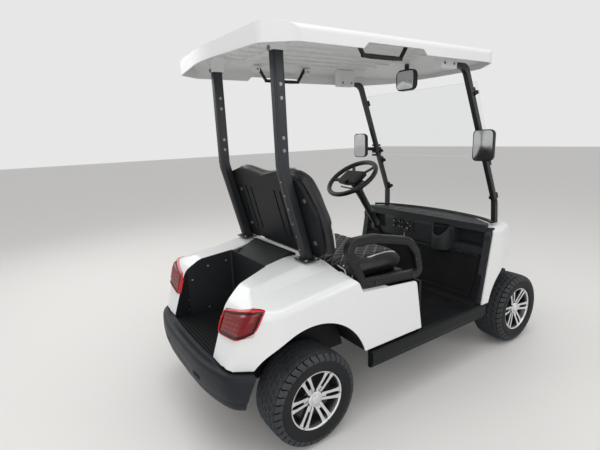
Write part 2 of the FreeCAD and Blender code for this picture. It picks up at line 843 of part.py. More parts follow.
cover = new_body("access_cover")
cover_rear = rear_axle + 25
pad(cover, "side", [[
    (cover_rear - 0.5, deck_top - 90),
    (cover_rear - 0.5, deck_top - 48, 12),
    (rear_axle - 130, deck_top + 24, 20),
    (rear_axle - 158, deck_top + 12, 6),
    (rear_axle - 158, deck_top - 90),
]], cover_half * 2 - 0.6, both=True)
subpart(cover, "access_cover")

# Rear bumper, lamps

bumper_top = skirt_low - 8
bumper = new_body("rear_bumper_bar")
pad(bumper, "top", [[
    (19 - body_half, rear_axle + 262),
    (39 - body_half, rear_axle + 300, 60),
    (105 - body_half, rear_axle + 390, 90),
    (325 - body_half, rear_end, 400),
    (body_half - 325, rear_end, 400),
    (body_half - 105, rear_axle + 390, 90),
    (body_half - 39, rear_axle + 300, 60),
    (body_half - 19, rear_axle + 262),
    (body_half - 49, rear_axle + 252),
    (body_half - 145, rear_end - bumper_deep, 80),
    (145 - body_half, rear_end - bumper_deep, 80),
    (49 - body_half, rear_axle + 252),
]], bumper_top - bumper_low, offset=bumper_low)


def bumper_outer(middle, edge):
    """Upper and lower edges of the bumper's outer face."""
    flat = abs(edge.tangentAt(edge.FirstParameter).z) < 0.5
    beyond = (abs(middle.x) - float(body_half)) * 0.78 + (middle.y - float(rear_axle)) * 0.62
    return flat and (middle.y > float(rear_end) - 25 or beyond > 141)


fillet(bumper, 22.0, bumper_outer)
subpart(cut("rear_bumper_shell", bumper, arches), "rear_bumper")

# Seats

board = new_body("seat_board")
cushion_front = seat_front - 15
cushion_rear = rear_axle - 268
pad(board, "top", [[
    (30 - seat_half, hinge_along),
    (seat_half - 30, hinge_along),
    (seat_half - 30, cushion_rear - 20),
    (30 - seat_half, cushion_rear - 20),
]], sizes["board_thick"], offset=board_low)
pad(board, "side", [(hinge_along, board_low, hinge_radius)], 600, both=True)
subpart(board, "seat_board")

cushion = new_body("seat_cushion")
pad(cushion, "top", [[
    (-seat_half, cushion_front, 70),
    (seat_half, cushion_front, 70),
    (seat_half, cushion_rear, 40),
    (-seat_half, cushion_rear, 40),
]], sizes["seat_thick"], offset=seat_low)
subpart(cushion, "seat_cushion")

flutes_at = (-250, -190, -130, 130, 190, 250)
recline = math.degrees(math.atan2(strut_rise_back, strut_bend - deck_top - 2))
BACKS = (
    # name, margin inside the full outline, thickness, place behind the shell's rear face
    ("seat_back", 0, 85, 20.3),
    ("seat_back_shell", 22, 20, 0.0),
)
for name, inset, thick, behind in BACKS:
    body = new_body(name)
    pad(body, "front", [[
        (inset + 10 - seat_half, inset, 60),
        (seat_half - 10 - inset, inset, 60),
        (seat_half + 8 - inset, 250, 60),
        (seat_half - 70 - inset, 440 - inset, 90),
        (seat_half - 260, 478 - inset, 90),
        (0, 440 - inset, 90),
        (260 - seat_half, 478 - inset, 90),
        (inset + 70 - seat_half, 440 - inset, 90),
        (inset - 8 - seat_half, 250, 60),
    ]], thick, offset=behind)
    if name == "seat_back_shell":
        flutes = [[(x - 7, 90), (x + 7, 90), (x + 7, 350), (x - 7, 350)] for x in flutes_at]
        pocket(body, "front", flutes, 10)
    body.Placement = Placement(Vector(), Rotation(Vector(1, 0, 0), -recline))
    place(body, 0, strut_foot_y - sizes["strut_deep"] / 2 + 1.2, deck_top + 8)
    subpart(body, name)

arms = []
arm_lift = sizes["arm_bar"] / 2 + 0.5
for side, tag in ((-1, "right"), (1, "left")):
    body = new_body("armrest_" + tag)
    bar = sizes["arm_bar"]
    half_bar = bar / 2

    def arm_loop(grow):
        return [
            (rear_axle - 742 - grow, panel_top + arm_lift - 5.4 - grow * 1.08, 30 + grow),
            (rear_axle - 330 + grow, panel_top + arm_lift + 27.1 - grow * 0.92, 50 + grow),
            (rear_axle - 225 + grow, panel_top + 270 + grow, 40 + grow),
            (rear_axle - 400, panel_top + 270 + grow, 200),
            (rear_axle - 650, panel_top + 215 + grow, 80 + grow),
            (rear_axle - 710 - grow, panel_top + 145, 60 + grow),
        ]

    pad(body, "side", [arm_loop(half_bar), arm_loop(-half_bar)], bar, both=True)
    chamfer(body, 7.0, lambda middle, edge: abs(abs(middle.x) - float(half_bar)) < 0.1)
    place(body, (seat_half + sizes["seat_inset"] - 48) * side)
    arms.append(body)
group("armrests", arms)

# Roof and its supports

struts = []
for side, tag in ((-1, "right"), (1, "left")):
    body = new_body("rear_strut_" + tag)
    deep = sizes["strut_deep"]
    pad(body, "side", [[
        (strut_foot_y - deep / 2, deck_top + 2),
        (strut_foot_y + deep / 2, deck_top + 2),
        (strut_foot_y + strut_rise_back + deep / 2, strut_bend, 60),
        (strut_foot_y + strut_rise_back + 8 + deep / 2, sizes["roof_skirt"] + 6),
        (strut_foot_y + strut_rise_back + 8 - deep / 2, sizes["roof_skirt"] + 6),
        (strut_foot_y + strut_rise_back - deep / 2, strut_bend, 60),
    ]], sizes["strut_wide"], both=True)
    fillet(body, 10.0, lambda middle, edge: abs(edge.tangentAt(edge.FirstParameter).x) < 0.1
           and float(deck_top) + 3 < middle.z < float(sizes["roof_skirt"]) + 5)
    place(body, strut_half * side)
    struts.append(body)
group("rear_struts", struts)

posts = []
post_foot = deck_top - 40
post_bend = deck_top + 156
post_top = sizes["roof_skirt"] - 7
post_angle = math.degrees(math.atan2(sizes["post_lean"], post_top - post_foot))


def post_form(name, side, grow):
    body = new_body(name)
    half = sizes["post_size"] / 2 + grow
    pad(body, "side", [[
        (front_axle + 140 - half, 0),
        (front_axle + 140 + half, 0),
        (front_axle + 147 + half, post_bend - post_foot, 60),
        (front_axle + 472 + half, post_top - post_foot - half, 60),
        (front_axle + 565, post_top - post_foot - half),
        (front_axle + 565, post_top - post_foot + half),
        (front_axle + 478 - half, post_top - post_foot + half, 60),
        (front_axle + 147 - half, post_bend - post_foot, 60),
    ]], sizes["post_size"] + grow * 2, both=True)
    body.Placement = Placement(Vector(), Rotation(Vector(0, 1, 0), -side * post_angle))
    place(body, (post_half) * side, 0, post_foot - grow * 3)
    return body


post_holes = []
for side, tag in ((-1, "right"), (1, "left")):
    posts.append(post_form("front_post_" + tag, side, 0))
    post_holes.append(post_form("post_hole_" + tag, side, sizes["seat_gap"]))
group("front_posts", posts)

roof_low = sizes["roof_skirt"]
roof_rear = rear_axle + 210
roof_front = front_axle + 195


def roof_plan(inset):
    half = roof_half - inset
    rear = roof_rear - inset
    front = roof_front + inset
    return [
        (-half, front + 190, 120),
        (-half + 190, front + 20, 150),
        (0, front, 500),
        (half - 190, front + 20, 150),
        (half, front + 190, 120),
        (half, rear - 190, 60),
        (half - 95, rear - 60, 60),
        (0, rear + 5, 900),
        (95 - half, rear - 60, 60),
        (-half, rear - 190, 60),
    ]


def roof_form(name, inset):
    body = new_body(name)
    half = roof_half - inset
    crown = roof_low + sizes["roof_high"] - inset
    low = roof_low - (50 if inset else 0)
    pad(body, "front", [[
        (-half, low),
        (half, low),
        (half, crown - 38, 30),
        (half - 98, crown - 6, 160),
        (98 - half, crown - 6, 160),
        (-half, crown - 38, 30),
    ]], 3000, both=True)
    pocket(body, "top", outside(roof_plan(inset), (-far, -far), (far, far)), far * 2)
    pocket(body, "side", outside([
        (roof_front - 200, low - 100),
        (roof_rear + 100, low - 100),
        (roof_rear + 100, crown - 64),
        (roof_rear - 165, crown + 4, 150),
        (roof_front + 420, crown + 4, 300),
        (roof_front - 200, crown - 100),
    ], (-1900, 1000), (1900, 2600)), 3000)
    return body


roof_inner = roof_form("roof_inner", sizes["roof_wall"])
roof_recess = new_body("roof_recess")
pad(roof_recess, "side", [[
    (rear_axle - 756, roof_low - 20),
    (rear_axle - 706, roof_low + 26, 20),
    (rear_axle - 350, roof_low + 26, 20),
    (rear_axle - 300, roof_low - 20),
]], far, both=True)
roof_hollow = doc.addObject("Part::MultiFuse", "roof_hollow")
roof_hollow.Shapes = [roof_inner, roof_recess]
roof_shell = cut("roof_shell", roof_form("roof_outer", 0), roof_hollow)
rib_count = 7
rib_step = 110
ceiling = roof_low + sizes["roof_high"] - sizes["roof_wall"] - 6
roof_parts = [roof_shell]
for number in range(rib_count):
    across = (number - (rib_count - 1) / 2) * rib_step
    roof_parts.append(box("roof_rib_%d" % number, (across - 7, roof_front + 330, ceiling - 10), (14, 1090, 11)))
roof_parts.append(box("roof_band", (-rib_step * 3, rear_axle - 240, ceiling - 6), (rib_step * 6, 60, 7)))
fuse("roof", roof_parts)

brackets = []
for side, tag in ((-1, "right"), (1, "left")):
    body = new_body("bracket_rear_" + tag)
    pad(body, "front", [[
        (-27, 0),
        (27, 0),
        (27, 50, 8),
        (60, 66, 8),
        (60, 79.4),
        (-60, 79.4),
        (-60, 66, 8),
        (-27, 50, 8),
    ]], 70)
    place(body, strut_half * side, rear_axle + 22, roof_low + 6.3)
    brackets.append(body)
    plate_in = post_half - sizes["post_lean"] - 36
    plate_low = post_top - 20
    plate_from = plate_in if side > 0 else -plate_in - 48
    plate_foot = (plate_from, front_axle + 565.3, plate_low)
    plate_high = ceiling - 2.9 - plate_low  # the ceiling curves down above its outer edge
    brackets.append(box("bracket_front_" + tag, plate_foot, (48, 135, plate_high)))
group("roof_brackets", brackets)

handles = []
for side, tag in ((-1, "right"), (1, "left")):
    body = new_body("grab_handle_" + tag)
    pad(body, "side", [[
        (rear_axle - 706, roof_low + 78.6),
        (rear_axle - 706, roof_low + 48, 14),
        (rear_axle - 650, roof_low - 8, 24),
        (rear_axle - 406, roof_low - 8, 24),
        (rear_axle - 350, roof_low + 48, 14),
        (rear_axle - 350, roof_low + 78.6),
        (rear_axle - 376, roof_low + 78.6),
        (rear_axle - 376, roof_low + 60, 6),
        (rear_axle - 418, roof_low + 18, 12),
        (rear_axle - 638, roof_low + 18, 12),
        (rear_axle - 680, roof_low + 60, 6),
        (rear_axle - 680, roof_low + 78.6),
    ]], 26, both=True)
    place(body, (roof_half - 98) * side)
    handles.append(body)
group("grab_handles", handles)

# Windscreen

screen_half = post_half + 5


def screen_at(height):
    """Where the front face of the screen lies at a height."""
    foot = front_axle + 147 - sizes["post_size"] / 2 - sizes["glass_thick"] - seam
    return foot + (sizes["screen_run"] / sizes["screen_rise"]) * (height - post_bend)


def screen(name, low, high):
    body = new_body(name)
    pad(body, "side", [[
        (screen_at(low), low),
        (screen_at(low) + sizes["glass_thick"], low),
        (screen_at(high) + sizes["glass_thick"], high),
        (screen_at(high), high),
    ]], 2 * screen_half, both=True)
    return subpart(body, name)


screen("windshield_lower", post_bend - 110, post_bend + 288)
screen("windshield_upper", post_bend + 291, post_bend + 726)

post_slope = math.degrees(math.atan2(sizes["screen_run"], sizes["screen_rise"]))
clip_wide = 26
clip_deep = 12
clips = []
for side, tag in ((-1, "right"), (1, "left")):
    for number, rise in enumerate((26, 241, 316, 666)):
        height = post_bend + rise
        clip = box("clip_%s_%d" % (tag, number), (0, 0, 0), (clip_wide, clip_deep, 36))
        clip.Placement = Placement(Vector(), Rotation(Vector(1, 0, 0), -post_slope))
        across = post_half - sizes["post_lean"] * ((height - post_foot) / 945)
        place(clip, across * side - clip_wide / 2, screen_at(height) - clip_deep - 1.3, height)
        clips.append(clip)
group("windshield_clips", clips)

# Front cowl, dash and front bumper


def cowl_side(inset):
    open_rear = spare if inset else 0
    open_low = -spare if inset else 0
    return [
        (cowl_rear + open_rear, floor_top + 3.6 + open_low),
        (cowl_rear - 90 + open_rear, deck_top + 18 - inset),
        (front_axle + 75, deck_top + 20 - inset, 60),
        (front_axle - 60, deck_top - 90 - inset, 140),
        (front_end + 150 + inset, 652 - inset, 160),
        (front_end + 20 + inset, 520, 90),
        (front_end + 20 + inset, 400 + open_low),
        (front_axle - 100, sill_top - 30 + open_low),
    ]


nose_half = body_half * 0.626
nose_flat = body_half * 0.26


def cowl_plan(inset):
    half = body_half - inset
    return [
        (-half, cowl_rear + spare),
        (-half, front_axle + 190, 200),
        (60 - half, front_axle, 250),
        (inset - nose_half, front_end + 110 + inset, 120),
        (inset - nose_flat, front_end + 12 + inset, 300),
        (nose_flat - inset, front_end + 12 + inset, 300),
        (nose_half - inset, front_end + 110 + inset, 120),
        (half - 60, front_axle, 250),
        (half, front_axle + 190, 200),
        (half, cowl_rear + spare),
    ]


def cowl_shoulder(middle, edge):
    """Top edges along the cowl's sides, from the cabin to the nose."""
    outward = abs(middle.x) > float(body_half) - 275
    steep = abs(edge.tangentAt(edge.FirstParameter).z) > 0.95
    return outward and middle.y < float(cowl_rear) - 95 and middle.z > 560 and not steep


def cowl_form(name, inset):
    body = new_body(name)
    pad(body, "side", [cowl_side(inset)], (body_half - inset) * 2, both=True)
    pocket(body, "top", outside(cowl_plan(inset), (-far, -far), (far, far)), far * 2)
    fillet(body, sizes["shoulder_round"] - inset, cowl_shoulder)
    return body


front_arches = new_body("front_arches")
pad(front_arches, "side", [(front_axle, arch_height, sizes["arch_radius"])], far, both=True)
lamp_pair = []
for side, tag in ((-1, "right"), (1, "left")):
    lamp = rod("headlamp_" + tag, (250.0 * side, front_end + 60, 560), "y", 45, 60)
    lamp_pair.append(lamp)
group("headlamps", lamp_pair)
cowl_inner = cowl_form("cowl_inner", wall)
cowl_hollow = doc.addObject("Part::MultiFuse", "cowl_openings")
cowl_hollow.Shapes = [cowl_inner, front_arches] + lamp_pair + post_holes
cowl = cut("cowl_shell", cowl_form("cowl_outer", 0), cowl_hollow)
subpart(cowl, "front_cowl")

front_bumper = new_body("front_bumper")
pad(front_bumper, "top", [[
    (-346, front_end + bumper_deep),
    (-350, front_end + 46, 20),
    (-150, front_end, 200),
    (150, front_end, 200),
    (350, front_end + 46, 20),
    (346, front_end + bumper_deep),
]], 130, offset=262)
subpart(front_bumper, "front_bumper")

cowl_room = cowl_form("cowl_room", wall + seam)
dash_form = new_body("dash_form")
pad(dash_form, "side", [[
    (cowl_rear - 78, dash_low, 15),
    (cowl_rear - 62, deck_top - 12, 25),
    (front_axle + 185, deck_top + 14),
    (front_axle + 185, 700),
    (cowl_rear - 140, dash_low),
]], (base_half - 2) * 2, both=True)
dash_inside = doc.addObject("Part::Common", "dash_inside")
dash_inside.Base = dash_form
dash_inside.Tool = cowl_room
dash_pad = new_body("dash_pad")
pad_half = body_half - 45
pad(dash_pad, "top", [[
    (-pad_half, cowl_rear - 66, 12),
    (-pad_half, cowl_rear - 112, 60),
    (280 - pad_half, front_axle + 105, 300),
    (pad_half - 280, front_axle + 105, 300),
    (pad_half, cowl_rear - 112, 60),
    (pad_half, cowl_rear - 66, 12),
]], 12, offset=deck_top + 20.6)
dash_lip = box("dash_lip", (-pad_half, cowl_rear - 88, deck_top - 40), (pad_half * 2, 20, 70))
bin_side = -205
bin_along = cowl_rear - 80
bin_outer = rod("bin_outer", (bin_side, bin_along, dash_low), "z", 72, 165)
switch_panel = box("switch_panel", (40, cowl_rear - 72, 706), (200, 10, 92))
dash_solid = doc.addObject("Part::MultiFuse", "dash_solid")
dash_solid.Shapes = [dash_inside, dash_pad, dash_lip, bin_outer, switch_panel]
bin_slope = new_body("bin_slope")
pad(bin_slope, "side", [[
    (cowl_rear - 66, deck_top - 14),
    (cowl_rear + 20, deck_top - 14),
    (cowl_rear + 20, dash_low + 40),
]], 160, both=True)
place(bin_slope, bin_side)
dash_rooms = [
    rod("bin_inner", (bin_side, bin_along, dash_low + 12), "z", 62, 160),
    bin_slope,
    box("cubby_right", (50 - body_half, cowl_rear - 154, 700), (225, 120, 105)),
    box("cubby_left", (body_half - 250, cowl_rear - 154, 700), (200, 120, 100)),
]
column_foot = Vector(280, float(cowl_rear) + 10, 660)
wheel_centre = Vector(280, float(rear_axle) - 969, 1124)
lean_axis = wheel_centre - column_foot
lean_angle = math.degrees(math.atan2(-lean_axis.y, lean_axis.z))
tilt = Rotation(Vector(1, 0, 0), lean_angle)

# Steering column and wheel

column_reach = 170
column_start = column_foot - tilt.multVec(Vector(0, 0, column_reach))
bore = doc.addObject("Part::Cylinder", "column_bore")
bind(bore, "Radius", sizes["column_radius"] + 0.3)
bore.Height = 900
bore.Placement = Placement(column_foot - tilt.multVec(Vector(0, 0, 400)), tilt)
dash_hollow = doc.addObject("Part::MultiFuse", "dash_hollow")
dash_hollow.Shapes = dash_rooms + [bore]
subpart(cut("dash", dash_solid, dash_hollow), "dash")
subpart(cut("floor", floor_pan, bore), "floor")

column = new_body("steering_column")
pad(column, "top", [(0, 0, sizes["column_radius"])], lean_axis.Length - 20.3 + column_reach)
column.Placement = Placement(column_start, tilt)
subpart(column, "steering_column")

wheel = new_body("steering_wheel")
ring = sizes["wheel_ring"] - sizes["wheel_grip"]
grip = sizes["wheel_grip"]
revolve(wheel, "side", [[
    (ring - grip, -5),
    (ring - 5, -grip),
    (ring + 5, -grip),
    (ring + grip, -5),
    (ring + grip, 5),
    (ring + 5, grip),
    (ring - 5, grip),
    (ring - grip, 5),
]], "V_Axis")
pad(wheel, "top", [[
    (-ring, -22),
    (-60, -30, 20),
    (-60, -75, 20),
    (-22, -95, 10),
    (-22, -ring),
    (22, -ring),
    (22, -95, 10),
    (60, -75, 20),
    (60, -30, 20),
    (ring, -22),
    (ring, 16),
    (60, 24, 20),
    (60, 60, 20),
    (-60, 60, 20),
    (-60, 24, 20),
    (-ring, 16),
]], 14, offset=-7.0)
pad(wheel, "top", [[(-58, -72, 18), (58, -72, 18), (58, 58, 18), (-58, 58, 18)]], 34, offset=-20.0)
wheel.Placement = Placement(wheel_centre, tilt)
subpart(wheel, "steering_wheel")



def toe_at(height):
    """Where the toe board's cabin face lies at a height."""
    return toe_foot + (toe_head + 12 - toe_foot) * ((height - float(floor_top)) / (dash_low - float(floor_top)))


pedal_pair = []
for tag, across, width, low in (("brake", 330.0, 100, 430), ("go", 210.0, 70, 410)):
    body = new_body("pedal_" + tag)
    high = low + 120
    middle = low + 60
    pad(body, "side", [[
        (toe_at(low) + 48, low),
        (toe_at(low) + 60, low),
        (toe_at(high) + 60, high),
        (toe_at(high) + 48, high),
        (toe_at(middle + 8) + 48, middle + 8),
        (toe_at(middle + 8) + 0.4, middle + 8),
        (toe_at(middle - 8) + 0.4, middle - 8),
        (toe_at(middle - 8) + 48, middle - 8),
    ]], width, both=True)
    place(body, across)
    pedal_pair.append(body)
group("pedals", pedal_pair)

mirrors = []
post_reach = 63.6 - sizes["seat_gap"]
mirror_level = post_bend + 366
for side, tag in ((-1, "right"), (1, "left")):
    body = new_body("side_mirror_" + tag)
    pad(body, "front", [[
        (-65, -90, 30),
        (65, -90, 30),
        (65, 90, 30),
        (-65, 90, 30),
    ]], 40, both=True)
    pad(body, "top", [[
        (-70 * side, -post_reach),
        (-46 * side, -post_reach),
        (-46 * side, 0),
        (-70 * side, 0),
    ]], 24, both=True)
    place(body, (post_half + 50) * side, front_axle + 380, mirror_level)
    mirrors.append(body)
group("side_mirrors", mirrors)
centre = new_body("centre_mirror")
pad(centre, "front", [[
    (-78, -66, 40),
    (78, -66, 40),
    (78, 66, 40),
    (-78, 66, 40),
]], 30, both=True)
pad(centre, "front", [[(-12, 50), (12, 50), (12, 97.2), (-12, 97.2)]], 16, both=True)
place(centre, 0, front_axle + 465, sizes["roof_skirt"] - 28)
subpart(centre, "centre_mirror")

arch_liners = []
rooms = {
    "rear": rear_form("rear_liner_room", wall + seam),
    "front": cowl_room,
}
for end, along in (("rear", rear_axle), ("front", front_axle)):
    for side, tag in ((-1, "right"), (1, "left")):
        body = new_body("arch_liner_" + end + "_" + tag)
        big = sizes["arch_radius"] + 6
        small = sizes["arch_radius"] + 2
        sketch = new_sketch(body, "side")
        draw(sketch, [(along, arch_height, big), (along, arch_height, small)])
        feature = body.newObject("PartDesign::Pad", body.Name + "_pad")
        feature.Profile = sketch
        bind(feature, "Length", body_half - wall - seam - 370)
        behind = skirt_low + 4 if end == "rear" else axle_height + 149
        pocket(body, "side", [[
            (along - 500, axle_height - 500),
            (along + 500, axle_height - 500),
            (along + 500, behind),
            (along, behind),
            (along, axle_height + 150),
            (along - 500, axle_height + 150),
        ]], 2000)
        place(body, Size(370.0, "370.0") if side > 0 else -(body_half - wall - seam))
        inside = doc.addObject("Part::Common", body.Name + "_inside")
        inside.Base = body
        inside.Tool = rooms[end]
        arch_liners.append(inside)
group("arch_liners", arch_liners)

# Checks and export

doc.recompute()
faults = [item.Name for item in doc.Objects if "Invalid" in item.State or "Error" in item.State]
if faults:
    raise RuntimeError("these objects failed: " + ", ".join(faults))
os.makedirs("parts", exist_ok=True)
for thing in SUBPARTS:
    shape = thing.Shape
    if shape.isNull() or not shape.isValid() or not shape.Solids:
        raise RuntimeError("bad shape: " + thing.Label)
    shape.exportStep("parts/" + thing.Label + ".step")
    print(thing.Label, len(shape.Solids), round(shape.Volume / 1e6, 2))
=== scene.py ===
import math

import bmesh
import bpy
import numpy as np
from mathutils import Matrix, Vector
from mathutils.bvhtree import BVHTree


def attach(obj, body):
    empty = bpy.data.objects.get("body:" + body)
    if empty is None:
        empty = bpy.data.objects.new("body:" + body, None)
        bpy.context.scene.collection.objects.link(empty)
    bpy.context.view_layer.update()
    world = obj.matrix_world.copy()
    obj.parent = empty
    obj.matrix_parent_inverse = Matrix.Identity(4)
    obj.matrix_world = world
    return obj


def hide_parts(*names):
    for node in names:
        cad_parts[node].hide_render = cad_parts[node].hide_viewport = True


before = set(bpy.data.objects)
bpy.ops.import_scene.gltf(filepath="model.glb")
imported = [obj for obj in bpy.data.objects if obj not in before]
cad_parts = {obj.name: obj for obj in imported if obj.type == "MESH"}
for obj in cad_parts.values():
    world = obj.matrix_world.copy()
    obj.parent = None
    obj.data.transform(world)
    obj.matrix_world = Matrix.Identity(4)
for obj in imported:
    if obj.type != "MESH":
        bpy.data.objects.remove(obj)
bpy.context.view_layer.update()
print("frame loaded:", len(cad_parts), "nodes")

# Camera, floor and light

cameraSet = {
    "lens": 24.57, "sensor": 36.0,
    "place": (-1.9565, 1.7406, 1.4354),
    "yaw": 0.9880, "pitch": 0.2154, "roll": -0.0365,
}


def makeCamera(setup):
    yaw, pitch = setup["yaw"], setup["pitch"]
    ahead = Vector((math.sin(yaw) * math.cos(pitch), -math.cos(yaw) * math.cos(pitch), -math.sin(pitch)))
    right = ahead.cross(Vector((0, 0, 1))).normalized()
    above = right.cross(ahead)
    turn = Matrix((right, above, -ahead)).transposed().to_4x4()
    data = bpy.data.cameras.new("camera")
    data.lens = setup["lens"]
    data.sensor_width = setup["sensor"]
    data.sensor_fit = "HORIZONTAL"
    camera = bpy.data.objects.new("camera", data)
    camera.matrix_world = Matrix.Translation(setup["place"]) @ turn @ Matrix.Rotation(setup["roll"], 4, "Z")
    bpy.context.scene.collection.objects.link(camera)
    bpy.context.scene.camera = camera


makeCamera(cameraSet)

stageSet = {
    "floorColour": (0.74, 0.73, 0.71), "skyShown": (0.80, 0.80, 0.80), "skyLight": 0.66,
    # name, place, aim, size, watts
    "lamps": (
        ("lampAbove", (-0.6, 0.6, 4.6), (0, 0, 0.6), 3.4, 78),
        ("lampBehind", (-3.6, 3.8, 3.0), (0, 0.4, 0.7), 2.4, 34),
        ("lampSide", (-4.2, -2.6, 2.6), (0, -0.2, 0.7), 2.2, 34),
        ("lampLow", (-2.9, 3.0, 0.30), (0.1, 0.2, 1.9), 2.0, 20),
        ("lampFar", (3.6, 1.6, 3.2), (0, 0, 0.8), 2.4, 40),
    ),
}


def plainMaterial(name, colour, roughness=0.6):
    material = bpy.data.materials.new(name)
    material.use_nodes = True
    shader = material.node_tree.nodes["Principled BSDF"]
    shader.inputs["Base Color"].default_value = (*colour, 1)
    shader.inputs["Roughness"].default_value = roughness
    return material


def makeStage(setup):
    floorMesh = bpy.data.meshes.new("floor")
    reach = 30  # metres from the middle to each side
    corners = [(-reach, -reach, 0), (reach, -reach, 0), (reach, reach, 0), (-reach, reach, 0)]
    floorMesh.from_pydata(corners, [], [(0, 1, 2, 3)])
    floor = bpy.data.objects.new("stageFloor", floorMesh)
    floor.data.materials.append(plainMaterial("stageFloor", setup["floorColour"]))
    bpy.context.scene.collection.objects.link(floor)
    world = bpy.data.worlds.new("studio")
    bpy.context.scene.world = world
    world.use_nodes = True
    nodes, links = world.node_tree.nodes, world.node_tree.links
    nodes.clear()
    output = nodes.new("ShaderNodeOutputWorld")
    mix = nodes.new("ShaderNodeMixShader")
    light = nodes.new("ShaderNodeBackground")
    shown = nodes.new("ShaderNodeBackground")
    path = nodes.new("ShaderNodeLightPath")
    either = nodes.new("ShaderNodeMath")
    either.operation = "MAXIMUM"
    light.inputs["Color"].default_value = (1, 1, 1, 1)
    light.inputs["Strength"].default_value = setup["skyLight"]
    shown.inputs["Color"].default_value = (*setup["skyShown"], 1)
    shown.inputs["Strength"].default_value = 1
    links.new(path.outputs["Is Camera Ray"], either.inputs[0])
    links.new(path.outputs["Is Transmission Ray"], either.inputs[1])
    links.new(either.outputs[0], mix.inputs[0])
    links.new(light.outputs[0], mix.inputs[1])
    links.new(shown.outputs[0], mix.inputs[2])
    links.new(mix.outputs[0], output.inputs["Surface"])
    for name, place, aim, size, watts in setup["lamps"]:
        data = bpy.data.lights.new(name, "AREA")
        data.energy, data.size = watts, size
        lamp = bpy.data.objects.new(name, data)
        lamp.location = place
        lamp.rotation_euler = (Vector(aim) - Vector(place)).to_track_quat("-Z", "Y").to_euler()
        bpy.context.scene.collection.objects.link(lamp)
    bpy.context.scene.view_settings.view_transform = "Standard"


makeStage(stageSet)
print("stage and lamps set")

# Materials: groups give colours, masks, values and normals, the shader itself sits in the material


# An empty node group with the named sockets; an input is (name, kind, value).
def newGroup(name, inputs, outputs):
    group = bpy.data.node_groups.new(name, "ShaderNodeTree")
    for label, kind, value in inputs:
        socket = group.interface.new_socket(name=label, in_out="INPUT", socket_type="NodeSocket" + kind)
        if value is not None:
            socket.default_value = value
    for label, kind in outputs:
        group.interface.new_socket(name=label, in_out="OUTPUT", socket_type="NodeSocket" + kind)
    return group, group.nodes.new("NodeGroupInput"), group.nodes.new("NodeGroupOutput")


# A node with its settings and the values or links of its sockets; a link is the other node's socket.
def addNode(tree, kind, settings=None, **values):
    node = tree.nodes.new("ShaderNode" + kind)
    for key, value in (settings or {}).items():
        setattr(node, key, value)
    for label, value in values.items():
        socket = node.inputs[int(label[1:])] if label[0] == "i" and label[1:].isdigit() else node.inputs[label.replace("_", " ")]
        if isinstance(value, bpy.types.NodeSocket):
            tree.links.new(value, socket)
        else:
            socket.default_value = value
    return node


# Fine cells and noise, for moulded plastic: height = noise + cell distance; out come a normal and a mask of it.
def grainGroup():
    inputs = [("Size", "Float", 400.0), ("Depth", "Float", 0.3)]
    group, given, gone = newGroup("grain", inputs, [("Normal", "Vector"), ("Mask", "Float")])
    place = addNode(group, "TexCoord")
    cells = addNode(group, "TexVoronoi", Vector=place.outputs["Object"], Scale=given.outputs["Size"])
    noise = addNode(group, "TexNoise", Vector=place.outputs["Object"], Scale=given.outputs["Size"], Detail=2.0)
    both = addNode(group, "Math", {"operation": "ADD"}, i0=cells.outputs["Distance"], i1=noise.outputs[0])
    bump = addNode(group, "Bump", Strength=given.outputs["Depth"], Distance=0.0006, Height=both.outputs[0])
    group.links.new(bump.outputs[0], gone.inputs["Normal"])
    group.links.new(both.outputs[0], gone.inputs["Mask"])
    return group


# Dust and rub marks: slow noise gives patches, upward faces hold more; out come a mask and a second, finer one.
def dustGroup():
    inputs = [("Amount", "Float", 0.3), ("Size", "Float", 3.0)]
    group, given, gone = newGroup("dust", inputs, [("Dust", "Float"), ("Rub", "Float")])
    place = addNode(group, "TexCoord")
    shape = addNode(group, "NewGeometry")
    parts = addNode(group, "SeparateXYZ", i0=shape.outputs["Normal"])
    upward = addNode(group, "MapRange", Value=parts.outputs["Z"], From_Min=-0.3, From_Max=1.0, To_Min=0.35, To_Max=1.0)
    patches = addNode(group, "TexNoise", Vector=place.outputs["Object"], Scale=given.outputs["Size"], Detail=5.0, Roughness=0.62)
    sharper = addNode(group, "MapRange", Value=patches.outputs[0], From_Min=0.42, From_Max=0.72)
    held = addNode(group, "Math", {"operation": "MULTIPLY"}, i0=sharper.outputs[0], i1=upward.outputs[0])
    amount = addNode(group, "Math", {"operation": "MULTIPLY"}, i0=held.outputs[0], i1=given.outputs["Amount"])
    finer = addNode(group, "TexNoise", Vector=place.outputs["Object"], Scale=38.0, Detail=4.0, Roughness=0.7)
    rub = addNode(group, "MapRange", Value=finer.outputs[0], From_Min=0.5, From_Max=0.66)
    group.links.new(amount.outputs[0], gone.inputs["Dust"])
    group.links.new(rub.outputs[0], gone.inputs["Rub"])
    return group


